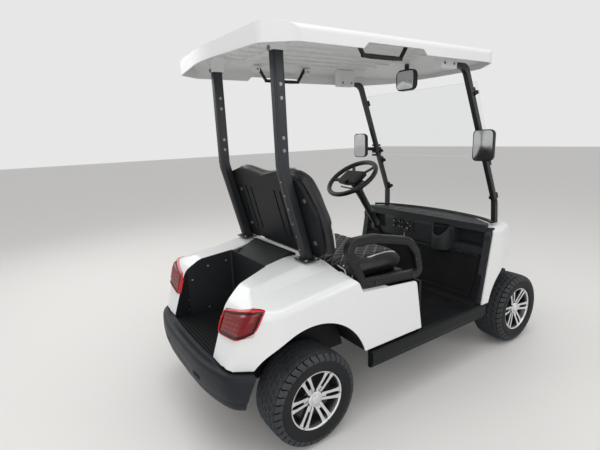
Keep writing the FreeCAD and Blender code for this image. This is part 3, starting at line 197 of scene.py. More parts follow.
# Vinyl with a leather print: distance to cell borders at two sizes gives pebbles, with fine creases from warped noise.
def leatherGroup():
    inputs = [("Size", "Float", 260.0), ("Depth", "Float", 0.35)]
    group, given, gone = newGroup("vinylPrint", inputs, [("Normal", "Vector"), ("Crease", "Float")])
    place = addNode(group, "TexCoord")
    warp = addNode(group, "TexNoise", Vector=place.outputs["Object"], Scale=60.0, Detail=2.0)
    add, edges = {"operation": "MULTIPLY_ADD"}, {"feature": "DISTANCE_TO_EDGE"}
    shifted = addNode(group, "VectorMath", add, i0=warp.outputs["Color"], i1=(0.004, 0.004, 0.004), i2=place.outputs["Object"])
    pebbles = addNode(group, "TexVoronoi", edges, Vector=shifted.outputs[0], Scale=given.outputs["Size"])
    low = addNode(group, "MapRange", Value=pebbles.outputs["Distance"], From_Min=0.0, From_Max=0.22)
    wide = addNode(group, "TexNoise", Vector=place.outputs["Object"], Scale=14.0, Detail=3.0)
    heights = addNode(group, "Math", {"operation": "MULTIPLY_ADD"}, i0=wide.outputs[0], i1=1.6, i2=low.outputs[0])
    bump = addNode(group, "Bump", Strength=given.outputs["Depth"], Distance=0.0007, Height=heights.outputs[0])
    group.links.new(bump.outputs[0], gone.inputs["Normal"])
    group.links.new(low.outputs[0], gone.inputs["Crease"])
    return group


grain, dust, vinylPrint = grainGroup(), dustGroup(), leatherGroup()


def useGroup(tree, group, **values):
    node = tree.nodes.new("ShaderNodeGroup")
    node.node_tree = group
    for label, value in values.items():
        node.inputs[label].default_value = value
    return node


# A surface from its table: colour, roughness and so on; grain and print give its normal, dust pales and dulls it.
def makeMaterial(name, setup):
    material = bpy.data.materials.new(name)
    material.use_nodes = True
    tree = material.node_tree
    shader = tree.nodes["Principled BSDF"]
    shader.inputs["Roughness"].default_value = setup["rough"]
    shader.inputs["Metallic"].default_value = setup.get("metal", 0.0)
    shader.inputs["Base Color"].default_value = (*setup["colour"], 1)
    for socket, value in setup.get("more", {}).items():
        shader.inputs[socket].default_value = value
    if "dust" in setup:
        amount, size, tint = setup["dust"]
        held = useGroup(tree, dust, Amount=amount, Size=size)
        mix = addNode(tree, "Mix", {"data_type": "RGBA"})
        mix.inputs[6].default_value = (*setup["colour"], 1)
        mix.inputs[7].default_value = (*tint, 1)
        tree.links.new(held.outputs["Dust"], mix.inputs[0])
        tree.links.new(mix.outputs[2], shader.inputs["Base Color"])
        rough, rub = setup["rough"], setup.get("rub", 0.06)
        duller = addNode(tree, "MapRange", Value=held.outputs["Dust"], To_Min=rough, To_Max=min(1.0, rough + 0.45))
        worn = addNode(tree, "Math", {"operation": "MULTIPLY_ADD"}, i0=held.outputs["Rub"], i1=rub, i2=duller.outputs[0])
        tree.links.new(worn.outputs[0], shader.inputs["Roughness"])
    if "grain" in setup:
        size, depth = setup["grain"]
        cells = useGroup(tree, grain, Size=size, Depth=depth)
        tree.links.new(cells.outputs["Normal"], shader.inputs["Normal"])
    if "print" in setup:
        size, depth = setup["print"]
        pebbles = useGroup(tree, vinylPrint, Size=size, Depth=depth)
        tree.links.new(pebbles.outputs["Normal"], shader.inputs["Normal"])
    return material


surfaces = {
    "white": {
        "colour": (0.74, 0.75, 0.75), "rough": 0.30,
        "more": {"Coat Weight": 0.45, "Coat Roughness": 0.10},
        "dust": (0.10, 2.4, (0.60, 0.58, 0.55)), "rub": 0.03,
    },
    "roofWhite": {"colour": (0.72, 0.73, 0.73), "rough": 0.38, "dust": (0.12, 3.0, (0.58, 0.56, 0.53)), "rub": 0.05},
    "plastic": {
        "colour": (0.007, 0.008, 0.0095), "rough": 0.50, "grain": (900.0, 0.30),
        "more": {"Specular IOR Level": 0.22}, "dust": (0.10, 4.0, (0.045, 0.046, 0.048)),
    },
    "darkPlastic": {
        "colour": (0.007, 0.0075, 0.0085), "rough": 0.40, "grain": (900.0, 0.2),
        "more": {"Specular IOR Level": 0.35}, "dust": (0.10, 4.0, (0.045, 0.044, 0.043)),
    },
    "bumper": {
        "colour": (0.008, 0.0105, 0.015), "rough": 0.46, "grain": (700.0, 0.40),
        "more": {"Specular IOR Level": 0.25}, "dust": (0.10, 5.0, (0.04, 0.043, 0.048)),
    },
    "vinyl": {
        "colour": (0.009, 0.0093, 0.0105), "rough": 0.36, "print": (330.0, 0.30),
        "more": {"Specular IOR Level": 0.42}, "dust": (0.08, 6.0, (0.045, 0.044, 0.043)),
    },
    "piping": {"colour": (0.66, 0.66, 0.64), "rough": 0.5, "print": (600.0, 0.2)},
    "thread": {"colour": (0.55, 0.55, 0.53), "rough": 0.8},
    "blackSteel": {
        "colour": (0.011, 0.0115, 0.0125), "rough": 0.40, "grain": (500.0, 0.12),
        "dust": (0.16, 6.0, (0.075, 0.073, 0.07)),
    },
    "anthracite": {
        "colour": (0.030, 0.033, 0.038), "rough": 0.36, "metal": 0.45, "grain": (600.0, 0.15),
        "dust": (0.10, 5.0, (0.10, 0.10, 0.10)),
    },
    "dashGrey": {
        "colour": (0.026, 0.029, 0.031), "rough": 0.55, "grain": (900.0, 0.35),
        "more": {"Specular IOR Level": 0.3}, "dust": (0.12, 4.0, (0.08, 0.08, 0.08)),
    },
    # Red of the lamps' bead, with a weak emission that is painted light: it keeps the bead bright where it faces away
    # from the lamps
    "beadRedPaintedGlow": {
        "colour": (0.42, 0.012, 0.016), "rough": 0.16,
        "more": {
            "Coat Weight": 0.4, "Specular IOR Level": 0.3,
            "Emission Color": (0.42, 0.010, 0.014, 1), "Emission Strength": 0.22,
        },
    },
    "steel": {"colour": (0.30, 0.30, 0.30), "rough": 0.36, "metal": 1.0, "dust": (0.2, 8.0, (0.15, 0.145, 0.135))},
    "alloy": {
        "colour": (0.74, 0.75, 0.76), "rough": 0.30, "metal": 0.9,
        "dust": (0.10, 9.0, (0.44, 0.43, 0.42)), "rub": 0.1,
    },
    "rimBlack": {
        "colour": (0.010, 0.010, 0.011), "rough": 0.30,
        "more": {"Coat Weight": 0.4}, "dust": (0.18, 8.0, (0.10, 0.095, 0.09)),
    },
    "rubber": {
        "colour": (0.009, 0.0097, 0.0115), "rough": 0.60, "grain": (450.0, 0.35),
        "more": {"Specular IOR Level": 0.25}, "dust": (0.22, 7.0, (0.05, 0.051, 0.053)),
    },
    # Tread blocks: lighter and dustier than the carcass, partly real dust and partly painted light on the block tops
    # that brings them out against the grooves
    "treadRubber": {
        "colour": (0.032, 0.035, 0.040), "rough": 0.62, "grain": (450.0, 0.30),
        "more": {"Specular IOR Level": 0.3}, "dust": (0.35, 7.0, (0.12, 0.12, 0.12)),
    },
    # Grooves' floor: near black, as painted shade in the grooves between the tread blocks
    "groove": {"colour": (0.0015, 0.0015, 0.0018), "rough": 0.9, "more": {"Specular IOR Level": 0.05}},
    "clearLens": {"colour": (0.50, 0.51, 0.52), "rough": 0.12, "more": {"Coat Weight": 0.5, "Coat Roughness": 0.03}},
    "redLens": {
        "colour": (0.17, 0.003, 0.005), "rough": 0.10,
        "more": {"Coat Weight": 0.25, "Coat Roughness": 0.03, "Specular IOR Level": 0.25},
    },
    "redDark": {
        "colour": (0.022, 0.001, 0.002), "rough": 0.14,
        "more": {"Coat Weight": 0.2, "Coat Roughness": 0.03, "Specular IOR Level": 0.2},
    },
    "mirror": {"colour": (0.66, 0.67, 0.68), "rough": 0.12, "metal": 1.0},
    "battery": {"colour": (0.02, 0.02, 0.022), "rough": 0.5, "dust": (0.3, 6.0, (0.12, 0.11, 0.10))},
    "castIron": {
        "colour": (0.045, 0.044, 0.043), "rough": 0.62, "metal": 0.4, "grain": (300.0, 0.4),
        "dust": (0.45, 7.0, (0.12, 0.11, 0.10)),
    },
    "mirrorShell": {
        "colour": (0.012, 0.0125, 0.014), "rough": 0.40, "grain": (900.0, 0.2),
        "more": {"Specular IOR Level": 0.3}, "dust": (0.12, 5.0, (0.06, 0.058, 0.056)),
    },
    "mat": {
        "colour": (0.005, 0.0055, 0.0065), "rough": 0.70, "grain": (300.0, 0.4),
        "more": {"Specular IOR Level": 0.15}, "dust": (0.16, 8.0, (0.040, 0.039, 0.038)),
    },
}
made = {name: makeMaterial(name, setup) for name, setup in surfaces.items()}


# Thin clear sheet for the screens: it transmits, with a little of its own colour
made["screen"] = makeMaterial("screen", {
    "colour": (0.93, 0.95, 0.95), "rough": 0.02,
    "more": {"Transmission Weight": 1.0, "IOR": 1.08, "Specular IOR Level": 0.6},
})

# Shapes: each helper gives (points, faces) as arrays, in metres


# Closed outline through (a, b, radius) corners: each corner is cut back along both sides and joined by an arc.
def roundedOutline(corners, steps=6):
    spots = np.array([corner[:2] for corner in corners], float)
    rows = []
    for index, corner in enumerate(corners):
        radius = corner[2] if len(corner) > 2 else 0
        here = spots[index]
        before = spots[index - 1] - here
        after = spots[(index + 1) % len(corners)] - here
        before /= np.linalg.norm(before)
        after /= np.linalg.norm(after)
        if radius <= 0:
            rows.append(here[None])
            continue
        half = math.acos(float(np.clip(before @ after, -1, 1))) / 2
        middle = (before + after) / np.linalg.norm(before + after)
        centre = here + middle * radius / math.sin(half)
        start = here + before * radius / math.tan(half) - centre
        end = here + after * radius / math.tan(half) - centre
        first = math.atan2(start[1], start[0])
        sweep = (math.atan2(end[1], end[0]) - first + math.pi) % (2 * math.pi) - math.pi
        angles = first + sweep * np.linspace(0, 1, steps + 1)
        rows.append(centre + radius * np.stack([np.cos(angles), np.sin(angles)], 1))
    return np.concatenate(rows)


# Rectangle about the origin with rounded corners, from its half sizes.
def roundedBox(a, b, radius, steps):
    return roundedOutline([(-a, -b, radius), (a, -b, radius), (a, b, radius), (-a, b, radius)], steps)


# Four-sided faces of a grid of points kept row by row; a closed side joins its last line to its first.
def gridFaces(rows, columns, closeRows=False, closeColumns=False):
    i = np.arange(rows if closeRows else rows - 1)[:, None]
    j = np.arange(columns if closeColumns else columns - 1)[None, :]
    nextRow, nextColumn = (i + 1) % rows, (j + 1) % columns
    quads = np.stack([i * columns + j, i * columns + nextColumn, nextRow * columns + nextColumn, nextRow * columns + j], -1)
    return quads.reshape(-1, 4).tolist()


# Closed sheet from two grids of points, its outer one and its back: both are skinned, and a rim of faces joins their edges.
def closedSheet(top, back):
    rows, columns = top.shape[:2]
    size = rows * columns
    grid = gridFaces(rows, columns)
    rim = [i * columns for i in range(rows)] + [(rows - 1) * columns + j for j in range(1, columns)]
    rim += [i * columns + columns - 1 for i in range(rows - 2, -1, -1)] + list(range(columns - 2, 0, -1))
    faces = grid + [[index + size for index in face[::-1]] for face in grid]
    faces += [[a, b, b + size, a + size] for a, b in zip(rim, rim[1:] + rim[:1])]
    return np.concatenate([top.reshape(-1, 3), back.reshape(-1, 3)]), faces


# Skin over rings of equal length: neighbouring rings are joined, and the open ends are capped by one face each.
def loft(rings, closed=False):
    rings = np.asarray(rings, float)
    count, size = rings.shape[:2]
    faces = gridFaces(count, size, closed, True)
    if not closed:
        faces.append(list(range(size))[::-1])
        faces.append([(count - 1) * size + k for k in range(size)])
    return rings.reshape(-1, 3), faces


# Carries a flat section (side, up) along a path: side is the path's direction crossed with above, up completes the frame.
def sweep(path, section, above=(0, 0, 1), closed=False, scale=None):
    path = np.asarray(path, float)
    section = np.asarray(section, float)
    if closed:
        ahead = np.roll(path, -1, 0) - np.roll(path, 1, 0)
    else:
        ahead = np.gradient(path, axis=0)
    ahead /= np.linalg.norm(ahead, axis=1)[:, None]
    side = np.cross(ahead, np.asarray(above, float))
    side /= np.linalg.norm(side, axis=1)[:, None]
    up = np.cross(side, ahead)
    size = np.ones(len(path)) if scale is None else np.asarray(scale, float)
    sides = side[:, None] * (section[None, :, :1] * size[:, None, None])
    rises = up[:, None] * (section[None, :, 1:] * size[:, None, None])
    return loft(path[:, None] + sides + rises, closed)


# A circle of that many points.
def circleSection(radius, count=12):
    turn = np.linspace(0, 2 * np.pi, count, endpoint=False)
    return np.stack([np.cos(turn) * radius, np.sin(turn) * radius], 1)


# Catmull-Rom line: between neighbours b and c the point is their cubic blend, with slopes (c - a) / 2 and (d - b) / 2.
def smoothPath(points, count=40):
    points = np.asarray(points, float)
    wide = np.concatenate([2 * points[:1] - points[1:2], points, 2 * points[-1:] - points[-2:-1]])
    spans = len(wide) - 3
    t = np.linspace(0, spans, count)
    k = np.minimum(t.astype(int), spans - 1)
    f = (t - k)[:, None]
    a, b, c, d = wide[k], wide[k + 1], wide[k + 2], wide[k + 3]
    return 0.5 * (2 * b + (c - a) * f + (2 * a - 5 * b + 4 * c - d) * f ** 2 + (3 * b - a - 3 * c + d) * f ** 3)


# Turns a profile of (radius, along) round the X axis: y = radius cos, z = radius sin, x = along.
def turned(profile, count=64):
    profile = np.asarray(profile, float)
    turn = np.linspace(0, 2 * np.pi, count, endpoint=False)[:, None]
    points = np.stack([
        np.broadcast_to(profile[:, 1], (count, len(profile))),
        profile[:, 0] * np.cos(turn),
        profile[:, 0] * np.sin(turn),
    ], -1)
    return points.reshape(-1, 3), gridFaces(count, len(profile), True, False)


# A plate: the outline drawn in a plane, between two levels along that plane's normal.
def slab(outline, low, high, plane="xy"):
    outline = np.asarray(outline, float)
    order = {"xy": [0, 1, 2], "xz": [0, 2, 1], "yz": [2, 0, 1]}[plane]
    return loft([np.concatenate([outline, np.full((len(outline), 1), level)], 1)[:, order] for level in (low, high)])


# A box from its lowest to its highest corner.
def block(low, high):
    low, high = np.asarray(low, float), np.asarray(high, float)
    outline = [(low[0], low[1]), (high[0], low[1]), (high[0], high[1]), (low[0], high[1])]
    return slab(outline, low[2], high[2])


# A hexagon head with a domed washer below it, standing on place along axis.
def boltHead(place, axis, radius=0.007, height=0.005, sides=6):
    profile = [(radius * 1.5, 0), (radius * 1.45, height * 0.3), (radius, height * 0.35), (radius * 0.96, height), (0.0004, height)]
    points, faces = turned(profile, sides * 2)
    turn = Vector((1, 0, 0)).rotation_difference(Vector(axis)).to_matrix()
    return points @ np.array(turn).T + np.asarray(place, float), faces


# Several (points, faces) as one.
def joined(shapes):
    points, faces, start = [], [], 0
    for somePoints, someFaces in shapes:
        points.append(np.asarray(somePoints, float))
        faces.extend([[index + start for index in face] for face in someFaces])
        start += len(somePoints)
    return np.concatenate(points), faces


# A shape turned by a 3 by 3 matrix, then shifted; flip mirrors it in X and turns its faces back outwards.
def moved(shape, shift=(0, 0, 0), turn=None, flip=False):
    points, faces = shape
    points = np.array(points, float)
    if turn is not None:
        points = points @ np.asarray(turn, float).T
    points = points + np.asarray(shift, float)
    if flip:
        points = points * (-1, 1, 1)
        faces = [list(face)[::-1] for face in faces]
    return points, faces


# The shape and its mirror image across the cart's middle.
def bothSides(shape):
    return joined([shape, moved(shape, flip=True)])


# A mesh object at the origin, with its faces turned outwards, smooth up to the crease angle, riding on its body.
def makePiece(name, shape, material, body="chassis", replaces=(), crease=35, bevel=0, mend=True):
    points, faces = shape
    mesh = bpy.data.meshes.new(name)
    mesh.from_pydata(np.asarray(points, float).tolist(), [], faces)
    piece = bpy.data.objects.new(name, mesh)
    bpy.context.scene.collection.objects.link(piece)
    form = bmesh.new()
    form.from_mesh(mesh)
    if mend:
        bmesh.ops.remove_doubles(form, verts=form.verts, dist=1e-5)
        bmesh.ops.dissolve_degenerate(form, edges=form.edges, dist=1e-6)
        bmesh.ops.recalc_face_normals(form, faces=form.faces)
    for face in form.faces:
        face.smooth = True
    for edge in form.edges:
        if len(edge.link_faces) == 2 and edge.calc_face_angle(0) > math.radians(crease):
            edge.smooth = False
    form.to_mesh(mesh)
    form.free()
    for entry in material if isinstance(material, (list, tuple)) else [material]:
        mesh.materials.append(entry)
    if bevel:
        rounding = piece.modifiers.new("bevel", "BEVEL")
        rounding.width, rounding.segments = bevel, 2
        rounding.limit_method = "ANGLE"
        rounding.angle_limit = math.radians(crease)
        rounding.harden_normals = True
    if body:
        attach(piece, body)
    if replaces:
        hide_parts(*replaces)
    return piece

# Wheels

wheelSet = {
    "radius": 0.233, "halfRim": 0.089, "count": 38, "turnSteps": 88, "gap": 0.0068,
    # end of the piece's name, end in the frame, centre across, centre along
    "places": (
        ("RearRight", "rear_right", -0.492, 0.775),
        ("RearLeft", "rear_left", 0.492, 0.775),
        ("FrontRight", "front_right", -0.505, -0.895),
        ("FrontLeft", "front_left", 0.505, -0.895),
    ),
    # distance from the tread's middle along its skin, half width and radius of the blocks' top, and of their foot
    "skin": (
        (0.000, 0.0000, 0.2330, 0.0000, 0.2250),
        (0.040, 0.0400, 0.2322, 0.0400, 0.2242),
        (0.070, 0.0700, 0.2300, 0.0700, 0.2220),
        (0.084, 0.0835, 0.2268, 0.0810, 0.2190),
        (0.094, 0.0915, 0.2212, 0.0880, 0.2150),
        (0.108, 0.0985, 0.2090, 0.0940, 0.2050),
        (0.124, 0.1028, 0.1945, 0.0985, 0.1925),
    ),
    # first edge, last edge, share of a pitch ahead, wave depth
    "rows": (
        (-0.122, -0.0815, 0.50, 0.0040),
        (-0.0765, -0.0485, 0.10, 0.0150),
        (-0.0440, -0.0160, 0.62, 0.0150),
        (-0.0115, 0.0115, 0.20, 0.0110),
        (0.0160, 0.0440, 0.70, 0.0150),
        (0.0485, 0.0765, 0.22, 0.0150),
        (0.0815, 0.122, 0.80, 0.0040),
    ),
}


# Carcass: one closed profile turned round the axle; each bulge is read off radius against distance from the middle
def tyreCarcass(setup):
    side = [
        (0.1420, 0.0760), (0.1442, 0.0860), (0.1455, 0.0935), (0.1475, 0.0970), (0.1510, 0.0990), (0.1640, 0.1012), (0.1800, 0.1020),
        (0.1925, 0.1012), (0.1945, 0.0998), (0.2040, 0.0982), (0.2072, 0.0970), (0.2165, 0.0912), (0.2210, 0.0832), (0.2238, 0.0700),
        (0.2260, 0.0400), (0.2268, 0.0),
    ]
    across = side + [(radius, -along) for radius, along in side[-2::-1]]
    inside = [(0.1400, -0.0700), (0.1400, 0.0700)]
    profile = across + inside
    points, _ = turned(profile, setup["turnSteps"])
    return points, gridFaces(setup["turnSteps"], len(profile), True, True)


# Tread: blocks in rows across, each between two waved grooves; angle = pitch (number + share) + wave sin(across) / radius
def tyreTread(setup):
    skin = np.array(setup["skin"])
    pitch = 2 * np.pi / setup["count"]
    across = np.linspace(0, 1, 6)
    shapes = []
    for first, last, share, depth in setup["rows"]:
        run = first + (last - first) * across
        wave = depth * np.sin((across - 0.5) * 2 * np.pi) + depth * 0.9 * (across - 0.5)
        gap = setup["gap"]
        number = np.arange(setup["count"])[:, None]
        rings = []
        for level, inset in ((0.0, 0.0), (0.82, 0.0), (1.0, 0.0011)):
            narrowed = run + inset * np.sign(0.5 - across) * np.array([1, 0, 0, 0, 0, 1])
            top, foot = ([np.interp(np.abs(narrowed), skin[:, 0], skin[:, column + k]) for k in (0, 1)] for column in (1, 3))
            out = (foot[0] + (top[0] - foot[0]) * level) * np.sign(narrowed)
            radius = foot[1] + (top[1] - foot[1]) * level
            start = (number + share) * pitch + (wave + gap / 2 + inset) / setup["radius"]
            stop = (number + share + 1) * pitch + (wave - gap / 2 - inset) / setup["radius"]
            angle = np.concatenate([start, stop[:, ::-1]], 1)
            wide = np.concatenate([out, out[::-1]])
            far = np.concatenate([radius, radius[::-1]])
            rings.append(np.stack([np.broadcast_to(wide, angle.shape), far * np.cos(angle), far * np.sin(angle)], -1))
        rings = np.stack(rings, 1)
        size = 2 * len(across)
        faces = gridFaces(3, size, False, True)
        begin, end = 2 * size, 3 * size - 1  # first and last point of the block's top
        faces += [[begin + k, begin + k + 1, end - 1 - k, end - k] for k in range(len(across) - 1)]
        blockPoints = rings.reshape(setup["count"], -1, 3)
        offsets = np.arange(setup["count"]) * 3 * size
        everyFace = [[index + int(start) for index in face] for start in offsets for face in faces]
        shapes.append((blockPoints.reshape(-1, 3), everyFace))
    return joined(shapes)


spokeSet = {
    "radii": (0.026, 0.045, 0.070, 0.095, 0.115, 0.127, 0.138),
    # against radius: a bar's distance from the spoke's middle, its half width, and how far out its face stands
    "spread": ((0.026, 0.138), (0.0115, 0.0190)),
    "half": ((0.026, 0.070, 0.112, 0.127, 0.138), (0.0090, 0.0084, 0.0088, 0.0120, 0.0160)),
    "face": ((0.026, 0.060, 0.100, 0.127, 0.138), (0.0700, 0.0765, 0.0835, 0.0866, 0.0874)),
    "web": ((0.024, 0.011, 0.0695), (0.052, 0.009, 0.0740), (0.064, 0.0050, 0.0765)),  # radius, half width, face
}


# Twin-bar spoke: two bars that part towards the lip, width and bow read off radius, joined near the hub by a web
def spokeBars(setup):
    radii = np.array(setup["radii"])
    spread, half, face = (np.interp(radii, *setup[key]) for key in ("spread", "half", "face"))
    shapes = []
    for side in (-1, 1):
        rings = []
        for r, middle, wide, out in zip(radii, spread * side, half, face):
            edge = [(-wide, -0.018), (-wide, -0.0025), (-wide + 0.0016, 0)]
            section = edge + [(-shift, rise) for shift, rise in edge[::-1]]
            rings.append([(out + rise, r, middle + shift) for shift, rise in section])
        shapes.append(loft(rings))
    web = []
    for r, wide, out in setup["web"]:
        web.append([(out - back, r, shift) for shift, back in ((-wide, 0.017), (-wide, 0.0018), (wide, 0.0018), (wide, 0.017))])
    return joined(shapes + [loft(web)])


# Lip, barrel, disc, hub and drum are profiles turned round the axle; six spokes, rivets and nuts stand round it
def wheelParts(setup):
    half = setup["halfRim"]
    turns = [math.radians(60 * k + 5) for k in range(6)]
    lip = turned([
        (0.1340, half - 0.020), (0.1345, half - 0.0020), (0.1360, half + 0.0018), (0.1385, half + 0.0034),
        (0.1425, half + 0.0038), (0.1440, half + 0.0018), (0.1438, half - 0.0070), (0.1400, half - 0.0095),
    ], 96)
    barrel = turned([
        (0.1345, half - 0.006), (0.1290, half - 0.012), (0.1262, half - 0.030), (0.1180, half - 0.050), (0.1160, 0.000),
        (0.1200, -half + 0.030), (0.1290, -half + 0.012), (0.1420, -half), (0.1436, -half + 0.002), (0.1400, -half + 0.010),
        (0.1330, -half + 0.014), (0.1295, 0.0), (0.1300, half - 0.012),
    ], 96)
    disc = turned([
        (0.0008, 0.018), (0.075, 0.020), (0.108, 0.028), (0.1175, 0.036),
        (0.1175, 0.030), (0.106, 0.020), (0.075, 0.012), (0.0008, 0.010),
    ], 64)
    spokes = joined([moved(spokeBars(spokeSet), turn=np.array(Matrix.Rotation(angle, 3, "X"))) for angle in turns])
    hub = turned([
        (0.0008, 0.0890), (0.0160, 0.0889), (0.0222, 0.0882), (0.0243, 0.0862), (0.0248, 0.0825), (0.0290, 0.0822),
        (0.0355, 0.0814), (0.0382, 0.0790), (0.0385, 0.0450),
    ], 48)
    drum = turned([(0.0008, 0.058), (0.048, 0.058), (0.052, 0.054), (0.053, 0.016), (0.0008, 0.016)], 40)
    marks = []
    for angle in turns:
        place = (half + 0.0030, 0.1400 * math.cos(angle), 0.1400 * math.sin(angle))
        marks.append(boltHead(place, (1, 0, 0), 0.0024, 0.0016, 8))
        nut = (0.058, 0.038 * math.cos(angle + 0.52), 0.038 * math.sin(angle + 0.52))
        marks.append(boltHead(nut, (1, 0, 0), 0.0075, 0.016, 6))
    valve = [(half - 0.024, 0.110, 0.004), (half - 0.010, 0.106, 0.004), (half - 0.002, 0.104, 0.004)]
    stem = sweep(valve, circleSection(0.0032, 10))
    return {
        "Lip": (lip, "alloy"), "Barrel": (joined([barrel, disc, drum, stem]), "rimBlack"),
        "Spokes": (spokes, "alloy"), "Hub": (hub, "alloy"), "Marks": (joined(marks), "rimBlack"),
    }


# Faces that look along the axle stay machined, the bars' flanks are black
def paintFlanks(piece):
    for face in piece.data.polygons:
        face.material_index = 0 if abs(face.normal[0]) > 0.55 else 1


# The carcass under the blocks is the grooves' floor, darker than the walls: a near-black finish there is painted shade
# in the grooves
def paintGrooves(piece, along, setup):
    for face in piece.data.polygons:
        far = math.hypot(face.center[1] - along, face.center[2] - setup["radius"])
        face.material_index = int(far > 0.2085)


tyreShapes = {"Carcass": tyreCarcass(wheelSet), "Tread": tyreTread(wheelSet)}
rimShapes = wheelParts(wheelSet)
for place, end, across, along in wheelSet["places"]:
    shift = (abs(across), along, wheelSet["radius"])
    right = across < 0
    body = end + "_wheel"
    for part, shape in tyreShapes.items():
        plain = part == "Carcass"
        # the carcass's second finish is the grooves' painted shade
        surface = [made["rubber"], made["groove"]] if plain else made["treadRubber"]
        form = moved(shape, shift, flip=right)
        piece = makePiece("tyre" + part + place, form, surface, body, ("tyre_" + end,), crease=50, mend=plain)
        if plain:
            paintGrooves(piece, along, wheelSet)
    for part, (shape, surface) in rimShapes.items():
        form = moved(shape, shift, flip=right)
        finishes = [made[surface], made["rimBlack"]]
        piece = makePiece("rim" + part + place, form, finishes, body, ("rim_" + end,), crease=40)
        if part == "Spokes":
            paintFlanks(piece)
print("wheels done")

# The frame's own nodes: their finishes, with welded, softened edges where they stay in sight

nodeSurfaces = {
    "white": ("rear_body", "front_cowl"),
    "roofWhite": ("roof", "roof_brackets"),
    "dashGrey": ("dash",),
    "plastic": ("seat_base", "bagwell_liner", "rockers", "arch_liners", "seat_back_shell", "access_cover"),
    "darkPlastic": ("seat_board", "armrests", "grab_handles", "windshield_clips", "pedals", "steering_wheel"),
    "bumper": ("rear_bumper", "front_bumper"),
    "vinyl": ("seat_cushion", "seat_back"),
    "blackSteel": ("frame", "front_axle", "front_posts", "steering_column", "shock_absorbers"),
    "anthracite": ("rear_struts",),
    "castIron": ("rear_axle", "drive_motor", "leaf_springs", "knuckle_right", "knuckle_left", "tie_rod"),
    "mat": ("floor",),
    "battery": ("battery_pack",),
    "redLens": ("tail_lamps",),
    "clearLens": ("headlamps",),
    "screen": ("windshield_lower", "windshield_upper"),
    "mirrorShell": ("side_mirrors", "centre_mirror"),
}
softened = {
    "roof_brackets": 0.0015, "dash": 0.003, "rockers": 0.003, "seat_base": 0.003, "bagwell_liner": 0.003, "access_cover": 0.003,
    "seat_back_shell": 0.004, "rear_struts": 0.0025, "front_posts": 0.003, "steering_column": 0.0015, "pedals": 0.003, "frame": 0.003,
    "arch_liners": 0.002, "seat_board": 0.002, "floor": 0.002, "front_bumper": 0.002,
    "windshield_lower": 0.001, "windshield_upper": 0.001,
}
for surface, names in nodeSurfaces.items():
    for name in names:
        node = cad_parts[name]
        node.data.materials.clear()
        node.data.materials.append(made[surface])
        if name in softened:
            weld = node.modifiers.new("weld", "WELD")
            weld.merge_threshold = 0.00002
            rounding = node.modifiers.new("bevel", "BEVEL")
            rounding.width, rounding.segments = softened[name], 2
            rounding.limit_method = "ANGLE"
            rounding.angle_limit = math.radians(40)
            rounding.harden_normals = True
print("frame nodes painted")

# Padded pieces: a closed grid is blown up as cloth, then seams are pressed into it


# Rounded box of stuffing: half its thickness is ((1 - |u|^14)(1 - |v|^9))^0.42, and corners pull in by |u|^6 |v|^6
def stuffedBox(halfWide, halfDeep, low, high, corner, rows=60, columns=30):
    u = np.linspace(-1, 1, rows)[:, None] * np.ones((1, columns))
    v = np.ones((rows, 1)) * np.linspace(-1, 1, columns)[None, :]
    edge = ((1 - np.abs(u) ** 14) * (1 - np.abs(v) ** 9)).clip(0, 1) ** 0.42
    pull = 1 - corner * (np.abs(u) ** 6) * (np.abs(v) ** 6)
    x, y = u * halfWide * pull, v * halfDeep * pull
    middle = (low + high) / 2
    top = np.stack([x, y, middle + (high - middle) * edge], -1)
    bottom = np.stack([x, y, middle - (middle - low) * edge], -1)
    return closedSheet(top, bottom)


# Runs the cover as cloth with air in it; no point goes further than cap from where it was
def blowUp(piece, voxel, pressure, cap, frames=20):
    bpy.context.view_layer.objects.active = piece
    remesh = piece.modifiers.new("remesh", "REMESH")
    remesh.mode, remesh.voxel_size = "VOXEL", voxel
    bpy.ops.object.modifier_apply(modifier=remesh.name)
    count = len(piece.data.vertices)
    before = np.empty(count * 3)
    piece.data.vertices.foreach_get("co", before)
    cloth = piece.modifiers.new("cloth", "CLOTH")
    cloth.settings.quality = 5
    cloth.settings.mass = 0.25
    cloth.settings.tension_stiffness = cloth.settings.compression_stiffness = 22
    cloth.settings.bending_stiffness = 0.6
    cloth.settings.use_pressure = True
    cloth.settings.uniform_pressure_force = pressure
    cloth.settings.effector_weights.gravity = 0
    scene = bpy.context.scene
    for step in range(1, frames + 1):
        scene.frame_set(step)
    shown = piece.evaluated_get(bpy.context.evaluated_depsgraph_get())
    after = np.empty(count * 3)
    shown.data.vertices.foreach_get("co", after)
    piece.modifiers.remove(cloth)
    scene.frame_set(1)
    shift = (after - before).reshape(-1, 3)
    length = np.linalg.norm(shift, axis=1)[:, None]
    before = (before.reshape(-1, 3) + shift * np.minimum(1, cap / np.maximum(length, 1e-9))).ravel()
    piece.data.vertices.foreach_set("co", before)
    piece.data.update()


# Softens stair steps of the remesh: each point goes a share of the way to the mean of its neighbours, some times over
def relax(piece, turns=6, share=0.5):
    mesh = piece.data
    edges = np.empty(len(mesh.edges) * 2, np.int32)
    mesh.edges.foreach_get("vertices", edges)
    a, b = edges.reshape(-1, 2).T
    points = np.empty(len(mesh.vertices) * 3)
    mesh.vertices.foreach_get("co", points)
    points = points.reshape(-1, 3)
    number = np.bincount(np.concatenate([a, b]), minlength=len(points))[:, None]
    for _ in range(turns):
        total = np.zeros_like(points)
        np.add.at(total, a, points[b])
        np.add.at(total, b, points[a])
        points += (total / number - points) * share
    mesh.vertices.foreach_set("co", points.ravel())
    mesh.update()


def applyDivide(piece):
    finer = piece.modifiers.new("divide", "SUBSURF")
    finer.levels = finer.render_levels = 1
    bpy.context.view_layer.objects.active = piece
    bpy.ops.object.modifier_apply(modifier=finer.name)


